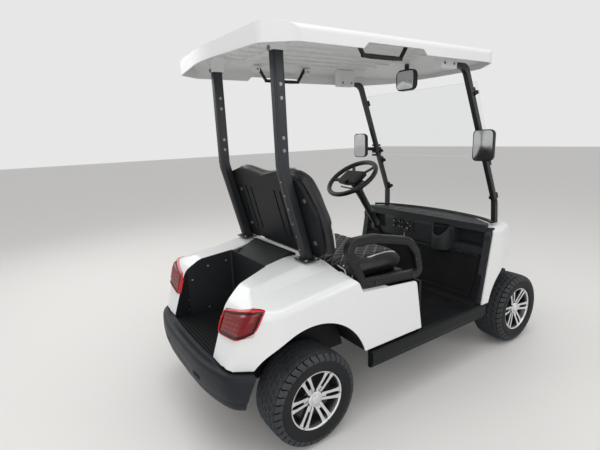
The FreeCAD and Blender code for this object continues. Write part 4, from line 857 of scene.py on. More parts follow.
seatSet = {
    "halfWide": 0.468, "front": 0.042, "rear": 0.504, "low": 0.687, "high": 0.789,
    # quilted field: half width, front and rear edge
    "field": (0.402, 0.062, 0.500), "diamond": (0.066, 0.080), "seamDepth": 0.0050, "channelDepth": 0.0085,
    "above": 0.95,  # height that lines are dropped from
}


# Distance from the nearest of two families of slanted lines, u = x / a + y / b and u = x / a - y / b, in metres
def diamondDistance(x, y, size):
    wide, deep = size
    scale = 1 / math.hypot(1 / wide, 1 / deep)
    one = x / wide + y / deep
    two = x / wide - y / deep
    return np.minimum(np.abs(one - np.round(one)), np.abs(two - np.round(two))) * scale


# Seams press in by depth exp(-(distance / 6.5 mm)^2), the channel round the field by depth exp(-(distance / 8.5 mm)^2)
def pressSeatSeams(points, normals, setup):
    half, front, rear = setup["field"]
    x, y = points[:, 0], points[:, 1]
    upward = np.clip((normals[:, 2] - 0.15) / 0.5, 0, 1)
    inside = np.minimum.reduce([half - np.abs(x), y - front, rear + 0.02 - y])
    field = np.clip(inside / 0.004, 0, 1) * upward
    seams = np.exp(-(diamondDistance(x, y, setup["diamond"]) / 0.0065) ** 2) * field * setup["seamDepth"]
    channel = np.exp(-(inside / 0.0085) ** 2) * upward * setup["channelDepth"]
    points[:, 2] -= seams + channel
    return points


halfDeep = (seatSet["rear"] - seatSet["front"]) / 2
seatForm = stuffedBox(seatSet["halfWide"], halfDeep, seatSet["low"], seatSet["high"], 0.05)
seat = makePiece("seatCover", seatForm, made["vinyl"], None)
blowUp(seat, 0.008, 3.0, 0.018)
relax(seat, 8)
applyDivide(seat)
print("seat cover blown up:", len(seat.data.vertices), "points")


# Gives a cover's own points and normals to a pressing function and writes the result back
def pressCover(piece, press, setup):
    mesh = piece.data
    count = len(mesh.vertices)
    points, normals = np.empty(count * 3), np.empty(count * 3)
    mesh.vertices.foreach_get("co", points)
    mesh.vertices.foreach_get("normal", normals)
    points = press(points.reshape(-1, 3), normals.reshape(-1, 3), setup)
    mesh.vertices.foreach_set("co", points.ravel())
    mesh.update()
    mesh.polygons.foreach_set("use_smooth", np.ones(len(mesh.polygons), bool))


# A piece's surface, to drop lines on
def pieceTree(piece):
    corners = [vertex.co.copy() for vertex in piece.data.vertices]
    return BVHTree.FromPolygons(corners, [tuple(face.vertices) for face in piece.data.polygons])


# Points where lines along a direction first meet a surface, with its normals there; lines that miss are left out
def dropOnto(tree, starts, direction, reach=0.6):
    found = [tree.ray_cast(Vector(start), Vector(direction), reach)[:2] for start in starts]
    found = [(spot, normal) for spot, normal in found if spot is not None]
    return np.array([spot for spot, _ in found]), np.array([normal for _, normal in found])


# Stitches: one short four-sided bead of thread after another along a line, half sunk in the cover
def stitches(spots, normals, length=0.0062, pitch=0.0088, thick=0.0009):
    shapes = []
    distance = np.concatenate([[0], np.cumsum(np.linalg.norm(np.diff(spots, axis=0), axis=1))])
    for start in np.arange(0.002, distance[-1] - length, pitch):
        ends = [np.array([np.interp(at, distance, spots[:, k]) for k in range(3)]) for at in (start, start + length)]
        up = np.array([np.interp(start, distance, normals[:, k]) for k in range(3)])
        ahead = (ends[1] - ends[0]) / max(np.linalg.norm(ends[1] - ends[0]), 1e-9)
        side = np.cross(ahead, up)
        side /= max(np.linalg.norm(side), 1e-9)
        rings = []
        for at, size in ((0.0, 0.35), (0.25, 1.0), (0.75, 1.0), (1.0, 0.35)):
            centre = ends[0] + (ends[1] - ends[0]) * at + up * thick * (0.25 + 0.3 * size)
            aside = side * thick * size
            rings.append([centre + aside, centre + up * thick * size * 0.8, centre - aside, centre - up * thick * size])
        shapes.append(loft(rings))
    return joined(shapes)


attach(seat, "seat")
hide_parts("seat_cushion")
seat.data.transform(Matrix.Translation((0, (seatSet["front"] + seatSet["rear"]) / 2, 0)))
pressCover(seat, pressSeatSeams, seatSet)
seatTree = pieceTree(seat)


# Seams of the quilt: both families of slanted lines, cut off at the field's edge
def quiltLines(setup):
    half, front, rear = setup["field"]
    wide, deep = setup["diamond"]
    lines = []
    for slant in (1, -1):
        for number in range(-14, 15):  # enough lines to cross the whole field
            y = np.linspace(front, rear, 60)
            x = wide * (number - slant * y / deep)
            keep = np.abs(x) < half
            if keep.sum() > 3:
                lines.append(np.stack([x[keep], y[keep], np.full(keep.sum(), setup["above"])], 1))
    return lines


# Thread in the seams of the quilt, dropped on the cover
def seatThread(setup):
    shapes = []
    for line in quiltLines(setup):
        spots, normals = dropOnto(seatTree, line, (0, 0, -1))
        if len(spots) > 6:
            shapes.append(stitches(spots, normals))
    return joined(shapes)


# Piping round three sides of the field: its outline is dropped on the cover and swept as a cord
def seatPiping(setup):
    half, front, rear = setup["field"]
    corner = 0.05
    outline = roundedOutline([(-half, rear + 0.006), (-half, front, corner), (half, front, corner), (half, rear + 0.006)], 8)
    line = smoothPath(np.concatenate([outline, np.full((len(outline), 1), setup["above"])], 1), 180)
    spots, _ = dropOnto(seatTree, line, (0, 0, -1))
    return sweep(smoothPath(spots[::4], 140) + (0, 0, 0.0018), circleSection(0.0042, 10), above=(0.05, 0.05, 1))


makePiece("seatThread", seatThread(seatSet), made["thread"], "seat", mend=False)
makePiece("seatPiping", seatPiping(seatSet), made["piping"], "seat")
print("seat cushion done")

# Seat back: x across, h up the leaning back from its foot, t out of it towards the front

backSet = {
    "foot": (0.6007, 0.826), "lean": math.radians(14.95), "near": 0.0215, "far": 0.104,
    "halfWide": ((0.0, 0.12, 0.25, 0.36, 0.47), (0.452, 0.466, 0.472, 0.448, 0.420)),
    "top": ((0.0, 0.08, 0.21, 0.32, 0.40, 0.47), (0.436, 0.446, 0.466, 0.456, 0.430, 0.380)),
    "fluteHalf": 0.300, "fluteStep": 0.075, "fluteLow": 0.055, "fluteDepth": 0.0075,
}


# The leaning frame: y = foot + h sin(lean) - t cos(lean), z = foot + h cos(lean) + t sin(lean)
def leaned(points, setup):
    x, h, t = np.moveaxis(np.asarray(points, float), -1, 0)
    s, c = math.sin(setup["lean"]), math.cos(setup["lean"])
    return np.stack([x, setup["foot"][0] + h * s - t * c, setup["foot"][1] + h * c + t * s], -1)


# The stuffed box, stretched: half width and top height are read off tables, and corners pull in by 0.10 |u|^8 v^8
def backBox(setup, rows=64, columns=40):
    points, faces = stuffedBox(1, 1, 0, 1, 0.0, rows, columns)
    u, v = points[:, 0], points[:, 1] / 2 + 0.5
    span = np.interp(v * 0.47, *setup["halfWide"])
    x = u * span
    high = np.interp(np.abs(x), *setup["top"])
    h = 0.004 + v * (high - 0.004)
    pull = 1 - 0.10 * np.abs(u) ** 8 * v ** 8
    t = setup["near"] + points[:, 2] * (setup["far"] - setup["near"])
    return leaned(np.stack([x * pull, h, t], -1), setup), faces


# Flutes: each upright line presses in by depth exp(-(distance / 8.5 mm)^2), and a border line runs round their field
def pressBack(points, normals, setup):
    s, c = math.sin(setup["lean"]), math.cos(setup["lean"])
    y, z = points[:, 1] - setup["foot"][0], points[:, 2] - setup["foot"][1]
    x, h = points[:, 0], y * s + z * c
    facing = np.clip((-normals[:, 1] * c + normals[:, 2] * s - 0.25) / 0.4, 0, 1)
    step = setup["fluteStep"]
    nearest = np.abs(x - np.round(x / step) * step)
    high = np.interp(np.abs(x), *setup["top"]) - 0.075
    ends = np.clip((h - setup["fluteLow"]) / 0.02, 0, 1) * np.clip((high - h) / 0.02, 0, 1)
    within = np.clip((setup["fluteHalf"] + 0.01 - np.abs(x)) / 0.006, 0, 1)
    depth = np.exp(-(nearest / 0.0085) ** 2) * ends * within * facing * setup["fluteDepth"]
    wide, tall, far = setup["fluteHalf"] + 0.012, high + 0.012, 10  # the border's place; far puts its ends out of reach
    border = np.minimum(np.abs(np.abs(x) - setup["fluteHalf"] - 0.012) + far * (h > tall),
                        np.abs(h - high - 0.012) + far * (np.abs(x) > wide))
    depth += np.exp(-(border / 0.0075) ** 2) * facing * 0.006
    return points - normals * depth[:, None]


back = makePiece("backCover", backBox(backSet), made["vinyl"], "chassis", ("seat_back",))
blowUp(back, 0.009, 4.0, 0.012)
relax(back, 8)
applyDivide(back)
pressCover(back, pressBack, backSet)
backTree = pieceTree(back)


# Piping round the front edge: an outline a little inside the cover's, dropped on it from the front
def backPiping(setup, inset, thick):
    h = np.linspace(0.03, 0.40, 14)
    flank = np.stack([np.interp(h, *setup["halfWide"]) - inset, h], 1)
    x = np.linspace(0.40, 0, 16)
    crown = np.stack([x, np.interp(x, *setup["top"]) - inset * 0.9], 1)
    half = np.concatenate([flank[:12], crown[2:]])
    line = np.concatenate([half, half[-2::-1] * (-1, 1)])
    line = smoothPath(line, 150)
    starts = leaned(np.concatenate([line, np.full((len(line), 1), 0.25)], 1), setup)
    ahead = leaned([(0, 0, 0), (0, 0, -1)], setup)
    spots, normals = dropOnto(backTree, starts, ahead[1] - ahead[0], 0.35)
    wide = np.pad(spots, ((6, 6), (0, 0)), mode="reflect", reflect_type="odd")
    spots = np.mean([wide[k:k + len(spots)] for k in range(13)], axis=0)
    spots = smoothPath(spots[::4] + normals[::4] * thick * 0.5, 140)
    return sweep(spots, circleSection(thick, 10), above=(0.03, -1, 0.3))


makePiece("backPiping", backPiping(backSet, 0.021, 0.0044), made["piping"], "chassis")


# Bolts in the shell behind the cushion, beside the struts
def shellBolts(setup):
    shapes = []
    for x in (-0.395, -0.265, 0.265, 0.395):
        for h in (0.10, 0.32):
            place = leaned([(x, h, 0.0002)], setup)[0]
            normal = leaned([(0, 0, -1)], setup)[0] - leaned([(0, 0, 0)], setup)[0]
            shapes.append(boltHead(place, normal, 0.008, 0.005))
    return joined(shapes)


makePiece("shellBolts", shellBolts(backSet), made["steel"])


# Two short upright pipings near each rear corner of the seat cushion, following its bulge
def seatCornerPiping():
    shapes = []
    for y in (0.435, 0.470):
        z = np.linspace(0.700, 0.772, 14)
        starts = np.stack([np.full_like(z, 0.7), np.full_like(z, y), z], 1)
        spots, normals = dropOnto(seatTree, starts, (-1, 0, 0))
        shapes.append(sweep(spots + normals * 0.0015, circleSection(0.0036, 8), above=(0, 1, 0)))
    return bothSides(joined(shapes))


makePiece("seatCornerPiping", seatCornerPiping(), made["piping"], "seat")
print("seat back done")

# Armrests

armSet = {
    "x": 0.527, "bar": 0.022, "steps": 150,
    # y, z, corner radius of the bar's middle line
    "loop": (
        (0.033, 0.6771, 0.030), (0.445, 0.7096, 0.050), (0.550, 0.930, 0.040),
        (0.375, 0.930, 0.200), (0.125, 0.875, 0.080), (0.065, 0.805, 0.060),
    ),
}


# The bar's section: a square with cut corners and two shallow lengthwise grooves in each broad side
def armSection(half):
    low = half - 0.0022  # floor of a groove
    side = np.array([
        (-half + 0.006, half), (-0.0125, half), (-0.0105, low), (-0.0075, low), (-0.0055, half),
        (0.0055, half), (0.0075, low), (0.0105, low), (0.0125, half), (half - 0.006, half),
    ])
    flank = np.array([(half, half - 0.006), (half, 0.006 - half)])
    return np.concatenate([side, flank, -side, -flank])[::-1]


# The bar: its section carried round the loop, in even steps of the loop's length
def armLoop(setup):
    outline = roundedOutline(setup["loop"], 10)
    whole = np.concatenate([outline, outline[:1]])
    far = np.concatenate([[0], np.cumsum(np.linalg.norm(np.diff(whole, axis=0), axis=1))])
    at = np.linspace(0, far[-1], setup["steps"], endpoint=False)
    y, z = np.interp(at, far, whole[:, 0]), np.interp(at, far, whole[:, 1])
    return sweep(np.stack([np.full_like(y, setup["x"]), y, z], 1), armSection(setup["bar"]), above=(1, 0, 0), closed=True)


# Bolts on the bar's outer side
def armFittings(setup):
    shapes = []
    x = setup["x"] + setup["bar"] - 0.001
    for y in (0.10, 0.37):  # along the lower bar, which rises towards the rear
        shapes.append(boltHead((x, y, 0.6771 + (y - 0.033) * 0.0789), (1, 0, 0), 0.0075, 0.005))
    for y, z in ((0.519, 0.845), (0.078, 0.770)):
        shapes.append(boltHead((x, y, z), (1, 0, 0), 0.005, 0.003))
    return joined(shapes)


makePiece("armLoops", bothSides(armLoop(armSet)), made["darkPlastic"], "chassis", ("armrests",), crease=28)
makePiece("armFittings", bothSides(armFittings(armSet)), made["blackSteel"])
print("armrests done")

# Struts: bolts, doubled lower half and feet

strutSet = {
    "x": 0.330, "halfWide": 0.0225, "halfDeep": 0.0275,
    "foot": (0.627, 0.820), "bend": (0.753, 1.292), "head": (0.761, 1.798),
    "highBolts": (1.657, 1.599, 1.426, 1.369), "lowBolts": (0.16, 0.30, 0.44, 0.60, 0.74, 0.88),
}


# Bolts in the sides above the bend, in the rear face below it, and four in each foot plate
def strutHardware(setup):
    foot, bend, head = (np.array(setup[key]) for key in ("foot", "bend", "head"))
    ahead = (bend - foot) / np.linalg.norm(bend - foot)
    rear = np.array([ahead[1], -ahead[0]])
    shapes = []
    for z in setup["highBolts"]:
        y = np.interp(z, (bend[1], head[1]), (bend[0], head[0])) - 0.001
        for side in (-1, 1):
            shapes.append(boltHead((setup["x"] + side * (setup["halfWide"] - 0.001), y, z), (side, 0, 0), 0.0058, 0.004))
    for share in setup["lowBolts"]:
        spot = foot + (bend - foot) * share + rear * (setup["halfDeep"] + 0.0035)
        shapes.append(boltHead((setup["x"] + 0.004, spot[0], spot[1]), (0, rear[0], rear[1]), 0.0042, 0.003))
    for x in (-0.036, 0.036):
        for y in (0.030, -0.030):
            shapes.append(boltHead((setup["x"] + x, foot[0] + 0.006 + y, 0.8335), (0, 0, 1), 0.0075, 0.006))
    return joined(shapes)


# Doubled lower half: a flat rib and a narrower one on it, run from foot to bend on the rear face, and a foot plate
def strutChannel(setup):
    foot, bend = np.array(setup["foot"]), np.array(setup["bend"])
    ahead = (bend - foot) / np.linalg.norm(bend - foot)
    rear = np.array([ahead[1], -ahead[0]])
    shapes = []
    for deep, wide, thick, ends in ((0.0294, 0.0175, 0.0022, (0.06, 0.985)), (0.0302, 0.0060, 0.0042, (0.09, 0.95))):
        half = [(-wide, -0.004), (-wide, thick / 2), (-wide + 0.002, thick)]
        section = half + [(-side, out) for side, out in half[::-1]]
        rings = []
        for share in ends:
            spot = foot + (bend - foot) * share
            flats = [(side, spot + rear * (deep - 0.002 + out)) for side, out in section]
            rings.append([(setup["x"] + side, flat[0], flat[1]) for side, flat in flats])
        shapes.append(loft(rings))
    plate = roundedOutline([(-0.052, -0.044, 0.008), (0.052, -0.044, 0.008), (0.052, 0.048, 0.008), (-0.052, 0.048, 0.008)], 4)
    shapes.append(moved(slab(plate, 0.8285, 0.8335), (setup["x"], setup["foot"][0] + 0.006, 0)))
    return joined(shapes)


makePiece("strutBolts", bothSides(strutHardware(strutSet)), made["steel"])
makePiece("strutChannels", bothSides(strutChannel(strutSet)), made["blackSteel"], bevel=0.001)
print("struts done")


# A frame node's own surface, to set things on
def nodeTree(*names):
    points, faces = [], []
    for name in names:
        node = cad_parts[name]
        start = len(points)
        points += [node.matrix_world @ vertex.co for vertex in node.data.vertices]
        faces += [[index + start for index in face.vertices] for face in node.data.polygons]
    return BVHTree.FromPolygons(points, faces)


# Rear bumper

bumperSet = {
    "plan": (
        (0.552, 0.960), (0.5565, 1.020), (0.5500, 1.062), (0.5250, 1.105), (0.470, 1.160),
        (0.380, 1.192), (0.250, 1.214), (0.110, 1.2205), (0.0, 1.2210),
    ),
    "arch": (0.775, 0.282, 0.323), "steps": 150,
    # inwards of the outer line, height
    "section": (
        (0.078, 0.424), (0.076, 0.438), (0.070, 0.4415), (0.050, 0.4395), (0.030, 0.4420), (0.016, 0.4405), (0.0070, 0.4340),
        (0.0025, 0.4230), (0.0008, 0.4050), (0.0, 0.3850), (0.0002, 0.3700), (0.0012, 0.3560), (0.0028, 0.3420), (0.0050, 0.3290),
        (0.0075, 0.3190), (0.0125, 0.3160), (0.0118, 0.3110), (0.0130, 0.3010), (0.0175, 0.2850), (0.0250, 0.2730),
        (0.0360, 0.2645), (0.0500, 0.2622), (0.080, 0.2622), (0.086, 0.300), (0.086, 0.400),
    ),
    # across, height, half width, half height, depth
    "dimples": ((0.225, 0.352, 0.034, 0.0125, 0.010), (-0.225, 0.352, 0.034, 0.0125, 0.010), (0.0, 0.352, 0.150, 0.020, 0.0035)),
}


# Each line of the section runs along the plan from one wheel arch to the other: it stops where (y, z) meets the arch's circle
def bumperShape(setup):
    half = np.array(setup["plan"])
    line = smoothPath(np.concatenate([half, half[-2::-1] * (-1, 1)]), 800)
    ahead = np.gradient(line, axis=0)
    ahead /= np.linalg.norm(ahead, axis=1)[:, None]
    inward = np.stack([ahead[:, 1], -ahead[:, 0]], 1)
    inward *= np.sign(-inward[:, 1:] - 1e-9)
    flank = np.abs(line[:, 0]) > 0.5  # there it has to point at the middle, whichever way the plan bends
    inward[:, 0] = np.where(flank, -np.sign(line[:, 0]) * np.abs(inward[:, 0]), inward[:, 0])
    lines = []
    for inset, high in setup["section"]:
        run = line + inward * inset
        y, z, radius = setup["arch"]
        limit = y + math.sqrt(max(radius ** 2 - (high - z) ** 2, 0))
        kept = run[run[:, 1] >= limit]
        far = np.concatenate([[0], np.cumsum(np.linalg.norm(np.diff(kept, axis=0), axis=1))])
        at = np.linspace(0, far[-1], setup["steps"])
        x, y = np.interp(at, far, kept[:, 0]), np.interp(at, far, kept[:, 1])
        push = np.zeros_like(x)
        for across, level, wide, tall, depth in setup["dimples"]:
            inside = ((x - across) / wide) ** 4 + ((high - level) / tall) ** 4
            push += depth / (1 + inside ** 3) * (inset < 0.02)
        lines.append(np.stack([x, y - push, np.full_like(x, high)], 1))
    return loft(np.stack(lines, 1))


# The section with points added so that none are further apart than step.
def refined(section, step):
    section = np.array(section)
    whole = np.concatenate([section, section[:1]])
    rows = []
    for a, b in zip(whole[:-1], whole[1:]):
        rows.append(np.linspace(a, b, max(1, int(np.ceil(np.linalg.norm(b - a) / step))), endpoint=False))
    return np.concatenate(rows)


bumperSet["section"] = refined(bumperSet["section"], 0.006)
makePiece("rearBumper", bumperShape(bumperSet), made["bumper"], "chassis", ("rear_bumper",), crease=38)
print("bumper done")

# Bag well: ribbed mat and screws

wellSet = {
    "floor": 0.430, "wall": ((0.790, 1.054, 1.160), (0.200, 0.283, 0.310)), "front": 0.812, "rear": 1.165, "step": 0.0165,
    # y, z of each screw in a side wall
    "screws": ((0.84, 0.735), (0.94, 0.715), (1.03, 0.640), (1.06, 0.520), (1.06, 0.462), (0.95, 0.462), (0.85, 0.462)),
}


# Mat: a sheet with a flat-topped rib across at each step, 3 mm times sin(2 pi y / step) + 0.15 held between 0 and 0.6
def wellMat(setup):
    y = np.arange(setup["front"], setup["rear"], setup["step"] / 8)
    half = np.interp(y, *setup["wall"]) - 0.014
    x = np.linspace(-1, 1, 9)[None, :] * half[:, None]
    rib = 0.0030 * np.clip(np.sin(2 * np.pi * (y - setup["front"]) / setup["step"]) + 0.15, 0, 0.6) / 0.6
    high = (setup["floor"] + 0.003 + rib)[:, None]
    top = np.stack([x, np.broadcast_to(y[:, None], x.shape), np.broadcast_to(high, x.shape)], -1)
    return closedSheet(top, top * (1, 1, 0) + (0, 0, setup["floor"] + 0.0004))


# Screws where lines across the well meet its walls
def wellScrews(setup):
    spots, normals = dropOnto(nodeTree("bagwell_liner"), [(0, y, z) for y, z in setup["screws"]], (1, 0, 0))
    inward = [normal if normal[0] < 0 else -normal for normal in normals]
    return bothSides(joined([boltHead(spot, normal, 0.0036, 0.0022, 8) for spot, normal in zip(spots, inward)]))


makePiece("wellMat", wellMat(wellSet), made["mat"], crease=60)
makePiece("wellScrews", wellScrews(wellSet), made["steel"])
print("bag well done")

# Roof: handles with finger grips, brackets and bolts

handleSet = {
    "x": 0.457, "radius": 0.0100,
    "path": (
        (0.069, 1.8700), (0.078, 1.8560), (0.120, 1.7935), (0.140, 1.7850),
        (0.354, 1.7850), (0.374, 1.7935), (0.416, 1.8560), (0.425, 1.8700),
    ),
    "grip": (0.150, 0.344, 0.0245, 0.0014),  # first and last y, step of the fingers, wave
}


# Bar swept along its path; over the middle its size is 1.10 + wave / radius cos(2 pi y / step), for the fingers
def handleShape(setup):
    path = np.array(setup["path"])
    line = smoothPath(np.stack([np.full(len(path), setup["x"]), path[:, 0], path[:, 1]], 1), 150)
    first, last, step, wave = setup["grip"]
    inside = np.clip((line[:, 1] - first) / 0.006, 0, 1) * np.clip((last - line[:, 1]) / 0.006, 0, 1)
    size = 1 + inside * (0.10 + wave / setup["radius"] * np.cos(2 * np.pi * (line[:, 1] - first) / step))
    return sweep(line, circleSection(setup["radius"], 16), above=(1, 0, 0), scale=size)


# Block at each end of a handle, with a bolt in both sides
def handleBrackets(setup):
    shapes, bolts = [], []
    for y in (0.056, 0.438):
        shapes.append(moved(slab(roundedBox(0.021, 0.017, 0.003, 3), 1.836, 1.8715), (setup["x"], y, 0)))
        for side in (-1, 1):
            bolts.append(boltHead((setup["x"] + side * 0.0208, y, 1.852), (side, 0, 0), 0.0050, 0.0035))
    return joined(shapes), joined(bolts)


makePiece("roofHandles", bothSides(handleShape(handleSet)), made["darkPlastic"], "chassis", ("grab_handles",))
bracketShape, bracketBolts = handleBrackets(handleSet)
makePiece("handleBrackets", bothSides(bracketShape), made["roofWhite"], bevel=0.0012)
makePiece("handleBolts", bothSides(bracketBolts), made["steel"])


# Bolts through the strut heads and through the front posts' brackets
def roofBolts():
    shapes = [boltHead((0.330, y, 1.806), (0, side, 0), 0.0085, 0.005) for y, side in ((0.7968, 1), (0.7272, -1))]
    for y in (-0.305, -0.225):
        for x, side in ((0.4520, 1), (0.4040, -1)):
            shapes.append(boltHead((x, y, 1.790), (side, 0, 0), 0.0055, 0.004))
    return bothSides(joined(shapes))


makePiece("roofBolts", roofBolts(), made["steel"])
print("roof fittings done")

# Steering wheel: drawn flat round its axis, then stood on the column

steerSet = {
    "centre": (0.28, -0.194, 1.124), "axis": (0.0, 0.550541, 0.834808),
    "radius": 0.1840, "grip": 0.0165, "wave": 0.0012, "waves": 48,
    # spoke direction, half width at the pad and at the ring
    "spokes": ((12, 0.020, 0.015), (168, 0.020, 0.015), (232, 0.013, 0.011), (308, 0.013, 0.011)),
    "pad": (0.100, 0.072, 0.020), "padHigh": 0.016,
    # distance from the axis and height of a spoke's middle line
    "spokeRun": ((0.030, -0.004), (0.080, -0.006), (0.125, -0.004), (0.155, -0.001), (0.178, 0.0)),
    # share of the half width and height round a spoke's section
    "spokeSection": ((-1, -0.003), (-0.85, 0.0035), (0.85, 0.0035), (1, -0.003), (0.85, -0.006), (-0.85, -0.006)),
}
standing = [[0, 1, 0], [0, 0, 1], [1, 0, 0]]  # stands a turned profile's X axis up along Z
facingRear = [[0, 1, 0], [1, 0, 0], [0, 0, -1]]  # lays a turned profile's X axis along Y


# Columns are the flat drawing's across, up and out directions in the cart: out is the axis, across stays level.
def axisTurn(axis):
    out = np.array(axis, float)
    across = np.array((1.0, 0.0, 0.0))
    up = np.cross(out, across)
    return np.stack([across, up, out], 1)


# Ring: its thickness at angle a round the wheel and b round the grip is grip + wave cos(waves a) times -cos(b - 0.9), the latter
# held between 0 and 1, so the waves are only on the inner side
def steerRing(setup, count=192, around=16):
    a = np.linspace(0, 2 * np.pi, count, endpoint=False)[:, None]
    b = np.linspace(0, 2 * np.pi, around, endpoint=False)[None, :]
    under = np.clip(-np.cos(b - 0.9), 0, 1)
    size = setup["grip"] + setup["wave"] * under * np.cos(setup["waves"] * a)
    far = setup["radius"] - 0.002 + size * np.cos(b)
    points = np.stack([far * np.cos(a), far * np.sin(a), np.broadcast_to(size * np.sin(b), far.shape)], -1)
    return points.reshape(-1, 3), gridFaces(count, around, True, True)


# Spokes: one section, scaled to its half width, carried from the pad out to the ring
def steerSpokes(setup):
    shapes = []
    for degrees, near, far in setup["spokes"]:
        angle = math.radians(degrees)
        across = np.array((math.cos(angle), math.sin(angle), 0))
        up = np.array((-math.sin(angle), math.cos(angle), 0))
        rings = []
        for (radius, high), half in zip(setup["spokeRun"], (near, near, (near + far) / 2, far, far * 1.25)):
            middle = across * radius + np.array((0, 0, high))
            rings.append([middle + up * s * half + np.array((0, 0, t)) for s, t in setup["spokeSection"]])
        shapes.append(loft(rings))
    return joined(shapes)


# Pad: rounded outlines stacked along the axis, drawn in towards the face, with a clip above it and the column's head below
def steerPad(setup):
    wide, tall, corner = setup["pad"]
    face = setup["padHigh"]
    levels = [(0.004, -0.012), (0.0, 0.002)]
    levels += [(shrink, face + rise) for shrink, rise in ((0.0, -0.005), (0.0025, -0.001), (0.010, 0.001), (0.040, 0.003))]
    rings = []
    for shrink, high in levels:
        a, b, c = wide - shrink, tall - shrink * 0.8, max(corner - shrink, 0.006)
        corners = [(-a, -b + 0.006, c), (a, -b + 0.006, c), (a * 1.04, b * 0.8, c), (0, b, 0.2), (-a * 1.04, b * 0.8, c)]
        outline = roundedOutline(corners, 6)
        rings.append(np.concatenate([outline, np.full((len(outline), 1), high)], 1))
    edge = roundedOutline([(-0.020, 0.046, 0.004), (0.020, 0.046, 0.004), (0.017, 0.076, 0.006), (-0.017, 0.076, 0.006)], 3)
    column = turned([(0.0005, -0.060), (0.030, -0.060), (0.036, -0.020), (0.034, -0.004), (0.0005, -0.004)], 32)
    return joined([loft(rings), slab(edge, 0.006, 0.030), moved(column, turn=standing)])


steerTurn = axisTurn(steerSet["axis"])
steerForms = (("steerRing", steerRing, "vinyl"), ("steerSpokes", steerSpokes, "darkPlastic"), ("steerPad", steerPad, "plastic"))
for name, shape, surface in steerForms:
    form = moved(shape(steerSet), steerSet["centre"], steerTurn)
    makePiece(name, form, made[surface], "steering_wheel", ("steering_wheel",))


# Column: tapering sleeve with collars, a stalk, and the boot where it enters the dash; radius against distance below the wheel
def columnSleeve(setup):
    profile = [
        (0.0005, -0.075), (0.031, -0.075), (0.036, -0.082), (0.036, -0.112), (0.029, -0.120), (0.0265, -0.180), (0.0255, -0.300),
        (0.0275, -0.306), (0.0275, -0.325), (0.0255, -0.331), (0.0250, -0.420), (0.033, -0.432), (0.036, -0.446), (0.033, -0.460),
        (0.0005, -0.460),
    ]
    sleeve = moved(turned(profile, 40), turn=standing)
    stalkPath = smoothPath([(0.030, 0.0, -0.098), (0.080, 0.010, -0.094), (0.135, 0.014, -0.086), (0.165, 0.014, -0.082)], 20)
    stalk = sweep(stalkPath, circleSection(0.0052, 10))
    return moved(joined([sleeve, stalk]), setup["centre"], steerTurn)


makePiece("columnSleeve", columnSleeve(steerSet), made["blackSteel"])
print("steering wheel done")

# Mirrors

mirrorSet = {
    "side": {"centre": (0.530, -0.515, 1.340), "half": (0.066, 0.091), "corner": 0.026, "depth": 0.040},
    "middle": {"centre": (0.0, -0.430, 1.764), "half": (0.074, 0.062), "corner": 0.022, "depth": 0.034},
}


# Shell: rounded rectangles stacked along Y, smaller towards the front by 20 mm (1 - sqrt(1 - share^2))
def mirrorShell(setup):
    wide, tall = setup["half"]
    depth = setup["depth"]
    rings = [(-depth / 2, 0.026)]
    for share in (1.0, 0.94, 0.80, 0.55, 0.25, 0.0):
        rings.append((-depth * 0.5 + depth * (1 - share), 0.020 * (1 - math.sqrt(max(0, 1 - share ** 2)))))
    rings.append((depth / 2 + 0.001, 0.0035))
    loops = []
    for deep, shrink in rings:
        outline = roundedBox(wide - shrink, tall - shrink, max(setup["corner"] - shrink * 0.5, 0.008), 8)
        loops.append(np.stack([outline[:, 0], np.full(len(outline), deep), outline[:, 1]], 1))
    return moved(loft(loops), setup["centre"])


# Glass: a grid bowed by 5 mm (1 - u^2)(1 - v^2), its square pulled in at the corners by 0.095 |u|^5 |v|^5
def mirrorGlass(setup, count=25):
    wide, tall = setup["half"][0] - 0.0055, setup["half"][1] - 0.0055
    u, v = np.meshgrid(np.linspace(-1, 1, count), np.linspace(-1, 1, count), indexing="ij")
    pull = 1 - 0.095 * (np.abs(u) ** 5) * (np.abs(v) ** 5)
    bow = setup["depth"] / 2 + 0.0012 + 0.0050 * (1 - u ** 2) * (1 - v ** 2)
    glass = np.stack([u * wide * pull, bow, v * tall * pull], -1)
    back = glass * (1, 0, 1) + (0, setup["depth"] / 2 - 0.002, 0)
    return moved(closedSheet(glass, back), setup["centre"])


# Arm from the shell to the post, three clamps round the post and two bolts
def mirrorArm():
    path = smoothPath([(0.516, -0.530, 1.318), (0.500, -0.560, 1.312), (0.488, -0.610, 1.305), (0.484, -0.640, 1.300)], 16)
    levels = ((-0.022, 0.022), (0.030, 0.044), (-0.046, -0.032))
    clamps = [moved(slab(roundedBox(0.026, 0.026, 0.006, 3), low, high), (0.480, -0.6250, 1.300)) for low, high in levels]
    bolts = [boltHead((0.480 + x, -0.598, 1.300), (0, 1, 0), 0.0055, 0.004) for x in (-0.014, 0.014)]
    return joined([sweep(path, circleSection(0.013, 12))] + clamps + bolts)


sides = mirrorSet["side"]
makePiece("sideMirrorShells", bothSides(mirrorShell(sides)), made["mirrorShell"], "chassis", ("side_mirrors",))
makePiece("sideMirrorGlass", bothSides(mirrorGlass(sides)), made["mirror"], "chassis")
makePiece("sideMirrorArms", bothSides(mirrorArm()), made["blackSteel"])
print("mirrors done")

# Dash: pad rail, slots, switches, key, lower lip and side trims; the kick panel comes further on

dashSet = {
    "face": -0.572,
    "rail": ((0.0, -0.790), (0.150, -0.782), (0.300, -0.757), (0.400, -0.728), (0.480, -0.690), (0.522, -0.655)),
    "railHigh": 0.8535,
    "slots": ((0.215, -0.655, 0.10), (0.045, -0.672, 0.0), (-0.110, -0.668, -0.06)),  # x, y, turn
    "key": (0.096, 0.720),  # x, z
}


